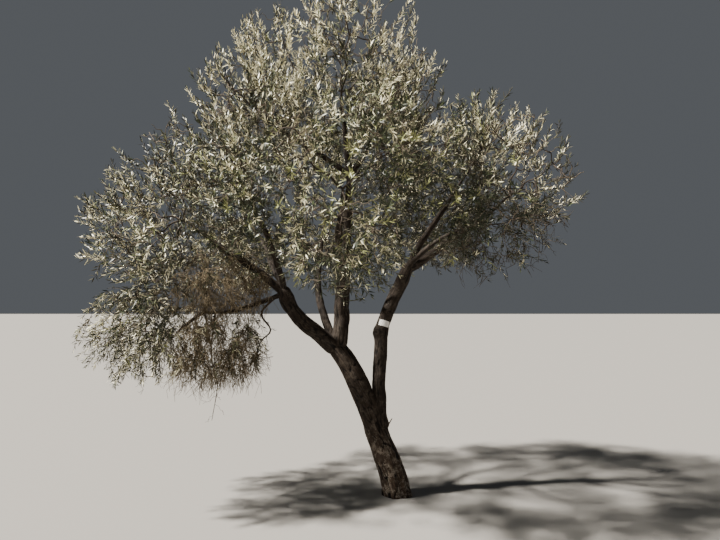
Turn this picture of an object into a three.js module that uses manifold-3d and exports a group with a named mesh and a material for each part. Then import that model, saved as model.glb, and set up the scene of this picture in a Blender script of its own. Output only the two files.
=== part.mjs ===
// A grown olive tree from a dry terrace, about 4.1 m wide and 4.2 m tall. Its leaning trunk forks twice, its
// boughs end where they enter the leaves, and each mass of foliage grows from a bough's tip by one
// seeded rule. Millimetres, +Z up, the origin in the middle of the flat cut at ground level. The tree
// leans towards -X, and -Y is its front.
import * as THREE from "three";
import { mergeVertices } from "three/addons/utils/BufferGeometryUtils.js";
import Module from "manifold-3d";

const wasm = await Module();
wasm.setup();

// Space kept clear where one limb leaves another, round all foliage, and between two masses of it
const JOINT_GAP = 0.4;
const LEAF_CLEARANCE = 8;
const SPACE_MARGIN = 5;

// The forks, from which limbs leave
const LOW_FORK = [-120, 5, 520];
const HIGH_FORK = [-480, 0, 1180];
const LEFT_HEAD = [-925, -80, 1655];
const CENTRE_FORK = [-440, 60, 1905];
const CROWN_FORK = [-385, 40, 2660];
const RIGHT_FORK = [108, 85, 1865];
const LEFT_BEND = [-1560, -180, 1495];

// Each limb is a tapering curve that leaves `from`, is drawn towards `via` and ends at `to`, in the order
// in which they meet. `crook` is how near it comes to `via`.
const EVEN_CROOK = 0.66;
const LIMBS = {
  trunk: { from: [0, 0, 0], via: [-122, 0, 628], to: HIGH_FORK, radii: [109, 80], sides: 18, steps: 9 },
  right_bough: {
    from: LOW_FORK,
    via: [-166, 30, 1310],
    to: RIGHT_FORK,
    crook: 0.88,
    radii: [59, 53],
    sides: 12,
    steps: 8,
  },
  left_bough: {
    from: HIGH_FORK,
    via: [-880, -55, 1470],
    to: LEFT_HEAD,
    crook: 0.72,
    radii: [70, 54],
    sides: 12,
    steps: 5,
  },
  centre_bough: {
    from: HIGH_FORK,
    via: [-440, 30, 1560],
    to: CENTRE_FORK,
    radii: [66, 60],
    sides: 12,
    steps: 4,
  },
  back_bough: { from: HIGH_FORK, via: [-760, 260, 1640], to: [-640, 700, 2370], radii: [38, 20], steps: 6 },
  centre_leader: { from: CENTRE_FORK, via: [-395, 90, 2300], to: CROWN_FORK, radii: [40, 31], steps: 4 },
  inner_back_bough: {
    from: CENTRE_FORK,
    via: [-560, 180, 2200],
    to: [-300, 620, 2850],
    radii: [34, 20],
    steps: 5,
  },
  front_bough: {
    from: CENTRE_FORK,
    via: [-500, -330, 2080],
    to: [-420, -820, 2380],
    radii: [30, 19],
    steps: 5,
  },
  top_limb: { from: CROWN_FORK, via: [-440, 20, 3000], to: [-460, -20, 3370], radii: [27, 19], steps: 3 },
  arch_limb: { from: CROWN_FORK, via: [-730, 0, 2910], to: [-980, -90, 3030], radii: [26, 19], steps: 4 },
  upper_right_limb: {
    from: CROWN_FORK,
    via: [-230, 40, 2880],
    to: [-120, 60, 3160],
    radii: [24, 18],
    steps: 4,
  },
  right_outer_bough: {
    from: RIGHT_FORK,
    via: [520, 130, 2100],
    to: [990, 120, 2500],
    radii: [42, 22],
    sides: 10,
    steps: 5,
  },
  right_upper_bough: {
    from: RIGHT_FORK,
    via: [240, -90, 2160],
    to: [590, -160, 2650],
    radii: [30, 19],
    steps: 5,
  },
  right_front_bough: {
    from: RIGHT_FORK,
    via: [200, -100, 2050],
    to: [550, -360, 2170],
    radii: [24, 17],
    steps: 5,
  },
  right_back_bough: {
    from: RIGHT_FORK,
    via: [190, 290, 2030],
    to: [340, 560, 2270],
    radii: [26, 17],
    steps: 4,
  },
  left_rising_bough: {
    from: LEFT_HEAD,
    via: [-1260, -130, 1930],
    to: [-1760, -80, 2260],
    radii: [36, 21],
    steps: 5,
  },
  left_upright_bough: {
    from: LEFT_HEAD,
    via: [-960, -260, 2080],
    to: [-1270, -430, 2480],
    radii: [30, 19],
    steps: 5,
  },
  left_back_bough: {
    from: LEFT_HEAD,
    via: [-1050, 250, 1930],
    to: [-1380, 560, 2400],
    radii: [29, 19],
    steps: 5,
  },
  left_low_bough: { from: LEFT_HEAD, via: [-1230, -150, 1500], to: LEFT_BEND, radii: [22, 15], steps: 5 },
  left_low_tip: {
    from: LEFT_BEND,
    via: [-1680, -190, 1440],
    to: [-1800, -200, 1300],
    radii: [15, 12],
    steps: 3,
  },
};
const LIMB_SIDES = 7;
const DOME_LEAN = 50;

// A limb wanders off its even curve by this share of its length
const WANDER = 0.012;
const CURVE_POINTS = 8;

// Root flare: ridges that spread over the ground and die out above it
const FLARE_WIDTH = 18;
const FLARE_HEIGHT = 120;
const FLARE_RIDGES = 5;
const FLARE_RELIEF = 0.45;
const BELOW_CUT = 80;

// Bare crooked twigs under the crown, through a few points from the limb that carries them
const BARE_TWIGS = {
  hanging_twig_inner: {
    through: [
      [-985, -95, 1630],
      [-1108, -110, 1490],
      [-1030, -115, 1350],
      [-1118, -120, 1240],
      [-1180, -125, 960],
    ],
    radii: [10, 4],
  },
  hanging_twig_outer: {
    through: [
      [-1470, -172, 1495],
      [-1498, -180, 1212],
      [-1474, -185, 1036],
      [-1441, -188, 917],
      [-1482, -190, 639],
    ],
    radii: [7, 3],
  },
  broken_stub: { through: [[-430, 40, 1860], [-330, 0, 1880], [-175, -20, 1825]], radii: [15, 10] },
};
const BARE_TWIG_SIDES = 5;
const BARE_TWIG_STEPS = 8;

// Foliage. A fan is a ring of masses round the tip of one limb, `spread` degrees off `axis` and `reach`
// from the tip, the first one turned `turn` degrees round it. Where `crest` is given, one more mass lies on
// the axis that far off. `size` is a mass's half length each way, and `lift` turns its shoots up or down.
// A bare fan has more twigs in place of leaves.
const FANS = {
  top_limb: {
    axis: [0, 0, 1],
    count: 3,
    reach: 700,
    spread: 58,
    turn: 10,
    crest: 300,
    size: [520, 580, 460],
    lift: 0.6,
  },
  arch_limb: {
    axis: [-0.85, 0, 0.38],
    count: 2,
    reach: 450,
    spread: 62,
    crest: 350,
    size: [490, 540, 460],
    lift: 0.5,
  },
  upper_right_limb: {
    axis: [0.7, 0, 0.5],
    count: 2,
    reach: 360,
    spread: 62,
    size: [400, 500, 440],
    lift: 0.6,
  },
  right_outer_bough: {
    axis: [0.25, 0, 1],
    count: 3,
    reach: 390,
    spread: 62,
    turn: 90,
    crest: 420,
    size: [380, 500, 440],
    lift: 0.4,
  },
  right_upper_bough: {
    axis: [0.4, 0, 0.8],
    count: 2,
    reach: 380,
    spread: 62,
    size: [500, 520, 410],
    lift: 0.5,
  },
  right_front_bough: {
    axis: [0.45, -0.85, -0.05],
    count: 1,
    reach: 330,
    spread: 0,
    size: [540, 500, 440],
    lift: -0.3,
  },
  right_back_bough: {
    axis: [0.2, 0.9, 0.1],
    count: 1,
    reach: 380,
    spread: 0,
    size: [600, 500, 520],
    lift: -0.2,
  },
  left_rising_bough: {
    axis: [-0.95, 0, 0.2],
    count: 3,
    reach: 460,
    spread: 70,
    turn: 90,
    crest: 400,
    size: [480, 600, 550],
    lift: 0.1,
  },
  left_upright_bough: {
    axis: [-0.3, -0.5, 0.5],
    count: 3,
    reach: 430,
    spread: 62,
    turn: 90,
    size: [540, 540, 540],
    lift: 0.2,
  },
  left_back_bough: {
    axis: [-0.3, 0.9, 0.3],
    count: 2,
    reach: 440,
    spread: 50,
    turn: 90,
    size: [580, 540, 540],
    lift: 0.1,
  },
  left_low_tip: { axis: [-1, 0, 0.15], count: 2, reach: 340, spread: 60, size: [460, 460, 420], lift: -0.5 },
  back_bough: { axis: [0, 0.9, 0.2], count: 1, reach: 360, spread: 0, size: [800, 520, 560], lift: 0.1 },
  inner_back_bough: {
    axis: [0.4, 0.8, 0.3],
    count: 2,
    reach: 450,
    spread: 52,
    size: [540, 520, 540],
    lift: 0.2,
  },
  front_bough: {
    axis: [0, -0.95, 0.2],
    count: 3,
    reach: 440,
    spread: 58,
    turn: -90,
    size: [560, 520, 520],
    lift: -0.1,
  },
  left_low_bough: {
    axis: [1, 0, 0],
    count: 2,
    reach: 300,
    spread: 75,
    turn: 75,
    size: [500, 440, 360],
    lift: -0.6,
    bare: true,
  },
};

// Masses spread their twigs away from this point of the crown
const CROWN_HEART = [-480, 0, 2350];

// Wood and leaves of a mass. Every stem and twig ends in a leaf and twigs have more at their sides. A
// leaf is flat below, has a ridge above, and stands for a spray of real ones.
const STEM_RADII = [7, 9, 5];
const STEM_REACH = 0.85;
const TWIG_RADII = [3, 7, 4];
const LEAFY_TWIGS = 5;
const BARE_TWIGS_IN_MASS = 12;
const TWIG_REACH = 0.66;
const TWIG_SAG = 0.12;
const BACKMOST = -0.55;
const SIDE_LEAF_PLACES = [0.8, 0.52];
const SIDE_LEAF_OPENING = 52;
const SIDE_LEAF_SINK = 3;
const LEAF_LENGTH = 370;
const SHORTEST_LEAF = 0.42;
const LEAF_WIDTH = 0.42;
const LEAF_THICKNESS = 10;
const LEAF_TRIES = 14;
const GOLDEN_ANGLE = Math.PI * (3 - Math.sqrt(5));

// A blank label bent round the front of the right bough
const LABEL_SIZE = [84, 50];
const LABEL_THICKNESS = 1.8;
const LABEL_PLACE = 0.632;

const BARK = new THREE.MeshStandardMaterial({ color: 0x4a3f36, roughness: 0.95, metalness: 0 });
const LEAF_GREEN = new THREE.MeshStandardMaterial({ color: 0x8b8a6c, roughness: 0.6, metalness: 0 });
const LABEL_WHITE = new THREE.MeshStandardMaterial({ color: 0xdedcd8, roughness: 0.5, metalness: 0 });

const vector = (point) => new THREE.Vector3(...point);
const mix = THREE.MathUtils.lerp;
const radians = THREE.MathUtils.degToRad;

// Evenly spread numbers from 0 to 1, the same ones for the same seed
function randomSource(seed) {
  let state = (seed * 7919 + 12345) >>> 0;
  return () => {
    state = (Math.imul(state, 1664525) + 1013904223) >>> 0;
    return state / 4294967296;
  };
}

// Two directions square to an axis, the first one level
function squareTo(axis) {
  const across = new THREE.Vector3(0, 0, 1).cross(axis);
  if (across.length() < 0.1) across.set(0, -1, 0);
  across.normalize();
  return [across, axis.clone().cross(across).normalize()];
}

// The direction that is `open` off an axis and `turn` round it, both in radians
function branchOff(axis, open, turn) {
  const [across, over] = squareTo(axis);
  return axis
    .clone()
    .multiplyScalar(Math.cos(open))
    .addScaledVector(across, Math.sin(open) * Math.cos(turn))
    .addScaledVector(over, Math.sin(open) * Math.sin(turn));
}

// A manifold solid from a closed geometry
function solidFrom(geometry) {
  const bare = geometry.clone();
  bare.deleteAttribute("normal");
  bare.deleteAttribute("uv");
  const merged = mergeVertices(bare, 1e-3);
  return new wasm.Manifold(
    new wasm.Mesh({
      numProp: 3,
      vertProperties: new Float32Array(merged.attributes.position.array),
      triVerts: new Uint32Array(merged.index.array),
    }),
  );
}

// A named mesh from a manifold solid, without the loose scraps that a cut may leave
function meshFrom(name, solid, material) {
  const largest = solid.decompose().reduce((a, b) => (a.volume() > b.volume() ? a : b));
  const made = largest.getMesh();
  const positions = new Float32Array(made.numVert * 3);
  for (let i = 0; i < made.numVert; i++) {
    positions.set(made.vertProperties.subarray(i * made.numProp, i * made.numProp + 3), i * 3);
  }
  const geometry = new THREE.BufferGeometry();
  geometry.setAttribute("position", new THREE.BufferAttribute(positions, 3));
  geometry.setIndex(new THREE.BufferAttribute(made.triVerts, 1));
  geometry.computeVertexNormals();
  const mesh = new THREE.Mesh(geometry, material);
  mesh.name = name;
  return mesh;
}

// Rings of points round a curve. `radiusAt(share, angle)` is the radius, and `roll` turns all rings.
function ringsAlong(curve, radiusAt, sides, steps, roll = 0) {
  const frames = curve.computeFrenetFrames(steps, false);
  return Array.from({ length: steps + 1 }, (_, step) =>
    Array.from({ length: sides }, (_, side) => {
      const angle = (2 * Math.PI * side) / sides;
      const radius = radiusAt(step / steps, angle);
      return curve
        .getPointAt(step / steps)
        .addScaledVector(frames.normals[step], radius * Math.cos(angle + roll))
        .addScaledVector(frames.binormals[step], radius * Math.sin(angle + roll));
    }),
  );
}

// The closed skin over rings of equal count. It ends at each end in a point, where one is given, or flat.
function skinOver(rings, { foot, tip } = {}) {
  const sides = rings[0].length;
  const last = rings.length - 1;
  const points = rings.flat();
  const corner = (ring, side) => ring * sides + (side % sides);
  const faces = [];
  for (let side = 0; side < sides; side++) {
    for (let ring = 0; ring < last; ring++) {
      faces.push(corner(ring, side), corner(ring, side + 1), corner(ring + 1, side));
      faces.push(corner(ring, side + 1), corner(ring + 1, side + 1), corner(ring + 1, side));
    }
    if (tip) faces.push(corner(last, side), corner(last, side + 1), points.length);
    if (foot) faces.push(corner(0, side + 1), corner(0, side), points.length + (tip ? 1 : 0));
  }
  for (let side = 1; side < sides - 1; side++) {
    if (!tip) faces.push(corner(last, 0), corner(last, side), corner(last, side + 1));
    if (!foot) faces.push(0, side + 1, side);
  }
  const all = [...points, ...[tip, foot].filter(Boolean)];
  return solidFrom(new THREE.BufferGeometry().setFromPoints(all).setIndex(faces));
}

// A tube with a rounded far end
function domedTube(curve, radiusAt, sides, steps) {
  const rings = ringsAlong(curve, radiusAt, sides, steps);
  const end = curve.getPointAt(1);
  const ahead = curve.getTangentAt(1);
  const lean = radians(DOME_LEAN);
  const rim = rings[steps].map((point) => {
    const out = point.clone().sub(end);
    return end
      .clone()
      .addScaledVector(out, Math.cos(lean))
      .addScaledVector(ahead, out.length() * Math.sin(lean));
  });
  return skinOver([...rings, rim]);
}

// A limb's own curve: an even bow that wanders a little, as grown wood does
function limbCurve(name) {
  const { from, via, to, crook = EVEN_CROOK } = LIMBS[name];
  const [start, middle, end] = [from, via, to].map(vector);
  const bow = new THREE.CubicBezierCurve3(
    start,
    start.clone().lerp(middle, crook),
    end.clone().lerp(middle, crook),
    end,
  );
  const phase = Object.keys(LIMBS).indexOf(name);
  const swing = bow.getLength() * WANDER;
  const points = Array.from({ length: CURVE_POINTS + 1 }, (_, i) => {
    const share = i / CURVE_POINTS;
    const [across, over] = squareTo(bow.getTangentAt(share));
    const damp = swing * Math.sin(Math.PI * share);
    return bow
      .getPointAt(share)
      .addScaledVector(across, damp * Math.sin(9 * share + phase))
      .addScaledVector(over, damp * Math.cos(7 * share + 2 * phase));
  });
  return new THREE.CatmullRomCurve3(points);
}

function limbSolid(name, extra = 0) {
  const { radii, sides = LIMB_SIDES, steps } = LIMBS[name];
  return domedTube(limbCurve(name), (share) => mix(...radii, share) + extra, sides, steps);
}

// The trunk spreads into ridged roots at its foot and is cut off flat at ground level
function trunkSolid(name, extra = 0) {
  const { radii, to, sides, steps } = LIMBS[name];
  const above = limbCurve(name);
  const foot = above.getPointAt(0).addScaledVector(above.getTangentAt(0), -BELOW_CUT);
  const shares = Array.from({ length: steps }, (_, i) => i / (steps - 1));
  const curve = new THREE.CatmullRomCurve3([foot, ...shares.map((share) => above.getPointAt(share))]);
  const radiusAt = (share, angle) => {
    const height = Math.max(curve.getPointAt(share).z, 0);
    const flare = FLARE_WIDTH * Math.exp(-height / FLARE_HEIGHT);
    const ridge = 1 + FLARE_RELIEF * Math.cos(FLARE_RIDGES * angle);
    return mix(...radii, height / to[2]) + flare * ridge + extra;
  };
  const ground = new THREE.BoxGeometry(1000, 1000, 400).translate(0, 0, -200);
  return domedTube(curve, radiusAt, sides, steps).subtract(solidFrom(ground));
}

// Every limb with a slightly fatter copy, which cuts clear the limbs that leave it or share its fork
function makeLimbs() {
  const made = {};
  for (const [name, limb] of Object.entries(LIMBS)) {
    const build = name === "trunk" ? trunkSolid : limbSolid;
    const solid = Object.entries(made).reduce((rest, [older, { cutter }]) => {
      const met = older === "trunk" || [LIMBS[older].from, LIMBS[older].to].includes(limb.from);
      return met ? rest.subtract(cutter) : rest;
    }, build(name));
    made[name] = { solid, cutter: build(name, JOINT_GAP) };
  }
  return made;
}

function bareTwigCurve(name) {
  return new THREE.CatmullRomCurve3(BARE_TWIGS[name].through.map(vector));
}

function makeBareTwig(name, limbs) {
  const { radii } = BARE_TWIGS[name];
  const radiusAt = (share) => mix(...radii, share);
  const whole = skinOver(ringsAlong(bareTwigCurve(name), radiusAt, BARE_TWIG_SIDES, BARE_TWIG_STEPS));
  return Object.values(limbs).reduce((rest, { cutter }) => rest.subtract(cutter), whole);
}

// The label is the part of a thin shell round the right bough that a tilted box takes out of it
function makeLabel() {
  const curve = limbCurve("right_bough");
  const along = curve.getTangentAt(LABEL_PLACE);
  const front = new THREE.Vector3(0, -1, 0).addScaledVector(along, along.y).normalize();
  const side = along.clone().cross(front);
  const middle = curve.getPointAt(LABEL_PLACE).addScaledVector(front, 100);
  const frame = new THREE.Matrix4().makeBasis(side, along, front).setPosition(middle);
  const box = new THREE.BoxGeometry(...LABEL_SIZE, 200).applyMatrix4(frame);
  const outside = limbSolid("right_bough", JOINT_GAP + LABEL_THICKNESS);
  return outside.subtract(limbSolid("right_bough", JOINT_GAP)).intersect(solidFrom(box));
}

// The masses of every fan, each with its centre, its size and the way it faces
function planMasses() {
  const masses = [];
  for (const [limb, fan] of Object.entries(FANS)) {
    const { axis, count, reach, spread, turn = 0, crest = 0, size, lift, bare = false } = fan;
    const kind = bare ? "bare_twigs" : "foliage";
    const tip = vector(LIMBS[limb].to);
    const main = vector(axis).normalize();
    const arms = Array.from({ length: count }, (_, i) =>
      branchOff(main, radians(spread), radians(turn) + (2 * Math.PI * i) / count).multiplyScalar(reach),
    );
    if (crest) arms.push(main.clone().multiplyScalar(crest));
    arms.forEach((arm, i) => {
      const centre = tip.clone().add(arm);
      masses.push({
        name: `${limb.replace(/_(bough|limb|tip)$/, "")}_${kind}_${i + 1}`,
        limb,
        seed: masses.length + 1,
        centre,
        size: vector(size),
        lift,
        bare,
        stem: new THREE.LineCurve3(tip, tip.clone().addScaledVector(arm, STEM_REACH)),
        outward: centre.clone().sub(vector(CROWN_HEART)).normalize(),
      });
    });
  }
  return masses;
}

// Points along the limbs, bare twigs and stems, each with its radius, that foliage keeps clear of
function planObstacles(masses) {
  const runs = [
    ...Object.keys(LIMBS).map((name) => [name, limbCurve(name), LIMBS[name].radii]),
    ...Object.keys(BARE_TWIGS).map((name) => [name, bareTwigCurve(name), BARE_TWIGS[name].radii]),
    ...masses.map(({ name, stem }) => [name, stem, STEM_RADII]),
  ];
  return runs.flatMap(([name, curve, radii]) => {
    const count = Math.ceil(curve.getLength() / 30);
    return Array.from({ length: count + 1 }, (_, i) => ({
      name,
      point: curve.getPointAt(i / count),
      radius: mix(...radii, i / count),
    }));
  });
}

// A mass's own space is rounded, and each point of it is nearer to its centre than to any other's
function inSpace(point, mass, masses, margin = SPACE_MARGIN) {
  const from = point.clone().sub(mass.centre);
  if (from.clone().divide(mass.size).length() > 1) return false;
  return masses.every((other) => {
    if (other === mass) return true;
    const apart = other.centre.clone().sub(mass.centre);
    return from.dot(apart) / apart.length() < apart.length() / 2 - margin;
  });
}

function isClear(point, radius, obstacles, own) {
  return obstacles.every(
    (o) => o.name === own || o.point.distanceTo(point) > o.radius + radius + LEAF_CLEARANCE,
  );
}

// A leaf from its root: its tip, its widest line as a ridge and two edges, and spots down its middle with
// their half widths
function leafShape(root, way, across, length) {
  const middle = root.clone().addScaledVector(way, length / 2);
  const half = (length * LEAF_WIDTH) / 2;
  const ridge = across.clone().cross(way).multiplyScalar(LEAF_THICKNESS);
  return {
    root,
    tip: root.clone().addScaledVector(way, length),
    widest: [
      middle.clone().add(ridge),
      middle.clone().addScaledVector(across, half),
      middle.clone().addScaledVector(across, -half),
    ],
    spots: [0.2, 0.35, 0.5, 0.65, 0.8, 1].map((share) => ({
      point: root.clone().addScaledVector(way, length * share),
      radius: length * LEAF_WIDTH * (0.5 - Math.abs(share - 0.5)),
    })),
  };
}

function leafFits(leaf, mass, masses, obstacles, taken) {
  return (
    [leaf.tip, ...leaf.widest].every((corner) => inSpace(corner, mass, masses)) &&
    leaf.spots.every(({ point, radius }) => isClear(point, radius, obstacles, mass.name)) &&
    leaf.spots.every(({ point, radius }) =>
      taken.every((other) => other.point.distanceTo(point) > other.radius + radius),
    )
  );
}

// Twigs of a mass: each runs from the nearest wood to one of the points that the golden angle spreads
// over its shape, on the side that faces out of the crown
function growTwigs(mass, masses, obstacles) {
  const twigs = [];
  const wood = [0.3, 0.5, 0.7, 0.9].map((share) => mass.stem.getPoint(share));
  const count = mass.bare ? BARE_TWIGS_IN_MASS : LEAFY_TWIGS;
  for (let i = 0; i < count; i++) {
    const facing = mix(1, BACKMOST, (i + 0.5) / count);
    const way = branchOff(mass.outward, Math.acos(facing), (i + mass.seed) * GOLDEN_ANGLE);
    for (let reach = TWIG_REACH; reach > TWIG_REACH / 3; reach *= 0.8) {
      const end = mass.centre.clone().addScaledVector(way.clone().multiply(mass.size), reach);
      const root = wood.reduce((a, b) => (a.distanceTo(end) < b.distanceTo(end) ? a : b));
      const bend = root.clone().lerp(end, 0.5);
      bend.z -= mass.lift * TWIG_SAG * root.distanceTo(end);
      const curve = new THREE.QuadraticBezierCurve3(root, bend, end);
      const fits = [0.3, 0.5, 0.7, 0.85, 1].every((share) => {
        const point = curve.getPoint(share);
        const room = inSpace(point, mass, masses, SPACE_MARGIN + TWIG_RADII[1]);
        return room && isClear(point, TWIG_RADII[1], obstacles, mass.name);
      });
      if (!fits) continue;
      twigs.push(curve);
      wood.push(curve.getPoint(0.6));
      break;
    }
  }
  return twigs;
}

// A three-sided stem or twig that runs out into a leaf, the largest that fits, or ends flat
function growTwig(curve, radii, fits) {
  const radiusAt = (share) => radii[Math.round(share * (radii.length - 1))];
  const frames = curve.computeFrenetFrames(1, false);
  for (let attempt = 0; attempt < LEAF_TRIES; attempt++) {
    const roll = attempt * GOLDEN_ANGLE;
    const across = branchOff(frames.tangents[1], Math.PI / 2, roll);
    const length = LEAF_LENGTH * mix(1, SHORTEST_LEAF, attempt / LEAF_TRIES);
    const leaf = leafShape(curve.getPoint(1), frames.tangents[1], across, length);
    if (!fits(leaf)) continue;
    const ridge = leaf.widest[0].clone().sub(leaf.root);
    const turn = Math.atan2(ridge.dot(frames.binormals[1]), ridge.dot(frames.normals[1]));
    const rings = ringsAlong(curve, radiusAt, 3, radii.length - 1, turn);
    return { solid: skinOver([...rings, leaf.widest], { tip: leaf.tip }), leaf };
  }
  return { solid: skinOver(ringsAlong(curve, radiusAt, 3, radii.length - 1)) };
}

// Leaves at the sides of a twig. One that doesn't fit is shortened and turned, and at last skipped.
function growSideLeaves(twig, mass, random, fits) {
  return SIDE_LEAF_PLACES.flatMap((share) => {
    for (let attempt = 0; attempt < LEAF_TRIES; attempt++) {
      const open = radians(SIDE_LEAF_OPENING) * mix(0.8, 1.3, random());
      const way = branchOff(twig.getTangent(share), open, 2 * Math.PI * random());
      way.addScaledVector(mass.outward, 0.25).setZ(way.z + mass.lift * 0.5).normalize();
      const across = branchOff(way, Math.PI / 2, Math.PI * random());
      const root = twig.getPoint(share).addScaledVector(way, -SIDE_LEAF_SINK);
      const length = LEAF_LENGTH * mix(1, SHORTEST_LEAF, attempt / LEAF_TRIES);
      const leaf = leafShape(root, way, across, length);
      if (fits(leaf)) return [leaf];
    }
    return [];
  });
}

// One mass: a stem cut clear of the limbs that meet at its foot, with its twigs and leaves fused on
function makeMass(mass, masses, obstacles, limbs) {
  const random = randomSource(mass.seed);
  const taken = [];
  const fits = (leaf) => {
    const good = !mass.bare && leafFits(leaf, mass, masses, obstacles, taken);
    if (good) taken.push(...leaf.spots);
    return good;
  };
  const twigs = growTwigs(mass, masses, obstacles);
  const grown = twigs.map((twig) => growTwig(twig, TWIG_RADII, fits));
  grown.unshift(growTwig(mass.stem, STEM_RADII, fits));
  const atSides = twigs.flatMap((twig) => growSideLeaves(twig, mass, random, fits));
  const solids = atSides.map(({ root, widest, tip }) => skinOver([widest], { foot: root, tip }));
  const whole = wasm.Manifold.union([...grown.map(({ solid }) => solid), ...solids]);
  const leaves = atSides.length + grown.filter(({ leaf }) => leaf).length;
  const foot = LIMBS[mass.limb].to;
  const solid = Object.entries(limbs)
    .filter(([name]) => [LIMBS[name].from, LIMBS[name].to].includes(foot))
    .reduce((rest, [, { cutter }]) => rest.subtract(cutter), whole);
  return { solid, leaves };
}

const tree = new THREE.Group();
tree.name = "olive_tree";

const limbs = makeLimbs();
for (const [name, { solid }] of Object.entries(limbs)) tree.add(meshFrom(name, solid, BARK));
for (const name of Object.keys(BARE_TWIGS)) tree.add(meshFrom(name, makeBareTwig(name, limbs), BARK));
tree.add(meshFrom("blank_label", makeLabel(), LABEL_WHITE));

const masses = planMasses();
const obstacles = planObstacles(masses);
tree.userData.leaves = 0;
for (const mass of masses) {
  const { solid, leaves } = makeMass(mass, masses, obstacles, limbs);
  tree.add(meshFrom(mass.name, solid, mass.bare ? BARK : LEAF_GREEN));
  tree.userData.leaves += leaves;
}

export default tree;
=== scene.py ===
"""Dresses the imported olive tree: bark in relief on its trunk and boughs, and twigs and leaves in its crown.

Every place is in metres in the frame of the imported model. +Z is up, the origin is in the middle of the
trunk's flat cut at ground level, and the tree's front faces -Y.
"""

import functools
import itertools
import math
from typing import NamedTuple

import bpy
import numpy as np
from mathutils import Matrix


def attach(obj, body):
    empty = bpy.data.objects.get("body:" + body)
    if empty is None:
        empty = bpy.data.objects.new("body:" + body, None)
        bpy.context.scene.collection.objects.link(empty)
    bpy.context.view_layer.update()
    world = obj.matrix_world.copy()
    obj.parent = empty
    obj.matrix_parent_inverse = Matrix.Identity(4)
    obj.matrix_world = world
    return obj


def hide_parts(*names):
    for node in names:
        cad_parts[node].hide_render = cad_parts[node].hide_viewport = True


bl_info = {
    "name": "Olive Tree",
    "version": (1, 0, 0),
    "blender": (4, 5, 0),
    "location": "View3D > Sidebar > Olive Tree",
    "description": "Bark, twigs and leaves for an olive tree, and the stage that it stands on",
    "category": "Object",
}

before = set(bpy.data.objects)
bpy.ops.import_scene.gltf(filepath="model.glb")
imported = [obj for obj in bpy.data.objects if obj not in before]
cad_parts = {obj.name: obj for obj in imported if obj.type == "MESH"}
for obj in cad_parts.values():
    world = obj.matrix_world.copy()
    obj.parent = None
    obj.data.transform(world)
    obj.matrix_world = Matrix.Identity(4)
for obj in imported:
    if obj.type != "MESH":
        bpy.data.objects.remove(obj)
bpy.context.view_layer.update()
BODY = "root"

UP = np.array((0.0, 0.0, 1.0))
FRONT = np.array((0.0, -1.0, 0.0))

# Steps that spread places evenly: the angle of the golden section, and 1 over the plastic number
GOLDEN_ANGLE = math.pi * (3 - math.sqrt(5))
EVEN_STEP = 0.7548776662466927

# The forks, from which limbs leave
LOW_FORK = (-0.120, 0.005, 0.520)
HIGH_FORK = (-0.480, 0.000, 1.180)
LEFT_HEAD = (-0.925, -0.080, 1.655)
CENTRE_FORK = (-0.440, 0.060, 1.905)
CROWN_FORK = (-0.385, 0.040, 2.660)
RIGHT_FORK = (0.108, 0.085, 1.865)
LEFT_BEND = (-1.560, -0.180, 1.495)


class Limb(NamedTuple):
    """A tapering limb from `start`, drawn towards `via`, to `end`. `crook` is how near it comes to `via`."""

    start: tuple
    via: tuple
    end: tuple
    radii: tuple
    crook: float = 0.66


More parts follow.
